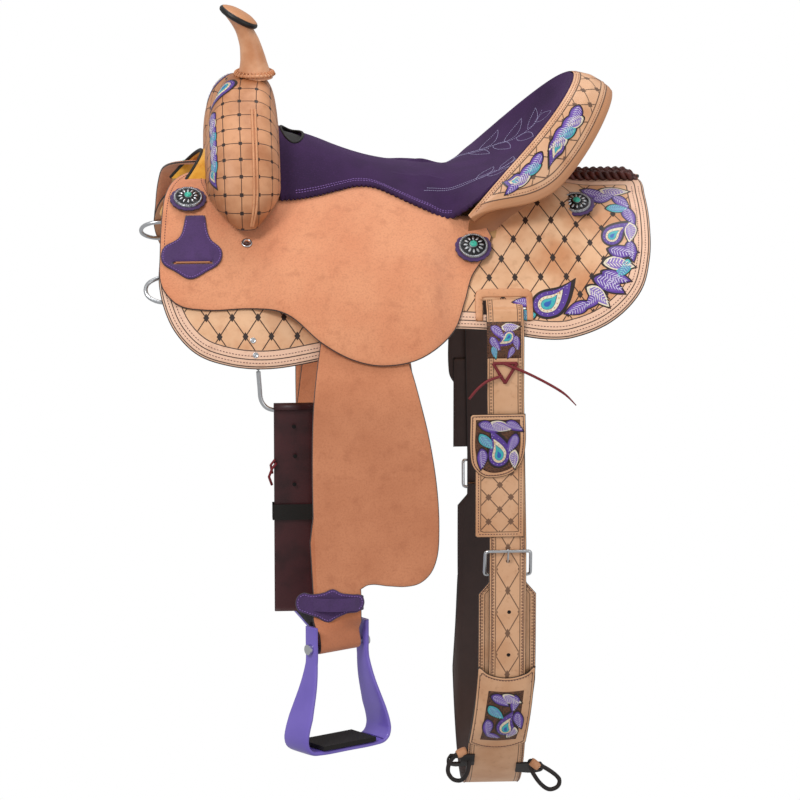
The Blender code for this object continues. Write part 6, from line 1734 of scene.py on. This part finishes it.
flat = smooth_line([
    (-0.0310, 0.0040, 1), (-0.0301, 0.0012), (-0.0275, 0.0, 1), (0.0275, 0.0, 1), (0.0301, 0.0012),
    (0.0310, 0.0040, 1), (0.0305, 0.0320, 1), (0.0296, 0.0349), (0.0268, 0.0360, 1),
    (-0.0268, 0.0360, 1), (-0.0296, 0.0349), (-0.0305, 0.0320, 1)], True, 0.0015)
path = np.stack([0.1325 + flat[:, 0], -0.2185 - 0.0128 * flat[:, 1] / 0.036, -0.4845 + flat[:, 1]], 1)
pair("cinch_buckle", "wire", tube(path, 0.0022, 12, True), steel, "rear_cinch")
prong = np.array([
    (0.1325, -0.2185, -0.4865), (0.1325, -0.2205, -0.4780), (0.1325, -0.2240, -0.4690),
    (0.1325, -0.2330, -0.4580), (0.1325, -0.2358, -0.4445)])
thin = np.interp(np.linspace(0, 4, 24), (0, 3, 4), (0.0017, 0.0016, 0.0010))
pair("buckle_tongue", "wire", tube(spread(prong, 24), thin, 10), steel, "buckle_tongue_side")


# Connector loops: short black straps through the foot of the cinch, for the strap that ties
# it to the front cinch.

black_strap = grained("black_strap", "#241815", "#120C0A", 60, 0.4, 0.7, 400, 0.0002, Roughness=0.55)
for node in ("connector_loop_front", "connector_loop_rear"):
    solid = frame["nodes"][node]
    solid.data.materials.clear()
    solid.data.materials.append(black_strap.material)
    bevel = solid.modifiers.new("edge", "BEVEL")
    bevel.width, bevel.segments, bevel.limit_method, bevel.angle_limit = 0.0006, 2, "ANGLE", 0.7
THONGS = {
    "front": [
        (0.086, -0.152, -0.752), (0.070, -0.156, -0.756), (0.058, -0.157, -0.769),
        (0.056, -0.154, -0.785), (0.064, -0.151, -0.797), (0.076, -0.150, -0.799),
        (0.084, -0.150, -0.789), (0.0875, -0.150, -0.770)],
    "rear": [
        (0.168, -0.140, -0.772), (0.182, -0.141, -0.779), (0.201, -0.140, -0.791),
        (0.213, -0.137, -0.803), (0.210, -0.135, -0.815), (0.197, -0.134, -0.820),
        (0.184, -0.135, -0.809), (0.172, -0.138, -0.789)]}
for word, points in THONGS.items():
    node, points = f"connector_loop_{word}", np.array(points)
    line = eased(spread(np.vstack([points, points[:1]]), 65)[:-1], 14, True)
    add(f"{node}_thong", tube(line, 0.0030, 10, True), black_strap, "rear_cinch", node, replaces=False)
    wrap = points[0] + (points[1] - points[0]) * np.linspace(0.25, 1.05, 6)[:, None] * (1, 1, 1.6)
    wrap = tube(wrap, np.array([0.0052, 0.0060, 0.0060, 0.0060, 0.0060, 0.0052]), 12)
    add(f"{node}_wrap", wrap, plain, "rear_cinch", node, replaces=False)


# Camera, white surroundings and soft lamps, as for a catalogue picture.

eye, aim = Vector((-0.485, -8.680, 2.031)), Vector((0, 0, -0.298))
camera = bpy.data.objects.new("camera", bpy.data.cameras.new("camera"))
bpy.context.scene.collection.objects.link(camera)
camera.location = eye
camera.rotation_euler = (aim - eye).to_track_quat("-Z", "Y").to_euler()
camera.data.lens, camera.data.sensor_width = 295.6, 36
bpy.context.scene.camera = camera
bpy.context.scene.view_settings.view_transform = "Standard"
world = bpy.data.worlds.new("world")
bpy.context.scene.world = world
world.use_nodes = True
nodes, links = world.node_tree.nodes, world.node_tree.links
soft = nodes["Background"]
soft.inputs["Color"].default_value = (1, 1, 1, 1)
soft.inputs["Strength"].default_value = 0.52
white = nodes.new("ShaderNodeBackground")
white.inputs["Color"].default_value = (1, 1, 1, 1)
mix, path = nodes.new("ShaderNodeMixShader"), nodes.new("ShaderNodeLightPath")
links.new(path.outputs["Is Camera Ray"], mix.inputs[0])
links.new(soft.outputs[0], mix.inputs[1])
links.new(white.outputs[0], mix.inputs[2])
links.new(mix.outputs[0], nodes["World Output"].inputs["Surface"])
for name, place, power, size in (("key", (-2.4, -2.8, 3.0), 92, 1.2), ("fill", (2.6, -3.0, 0.6), 22, 2.2),
                                 ("top", (0.3, 0.6, 3.0), 42, 2.0)):
    lamp = bpy.data.objects.new(name, bpy.data.lights.new(name, "AREA"))
    lamp.data.energy, lamp.data.size = power, size
    lamp.location = place
    lamp.rotation_euler = (Vector((0, 0, -0.3)) - lamp.location).to_track_quat("-Z", "Y").to_euler()
    bpy.context.scene.collection.objects.link(lamp)

[[list(c) for c in corners] for corners in (size_before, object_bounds())]
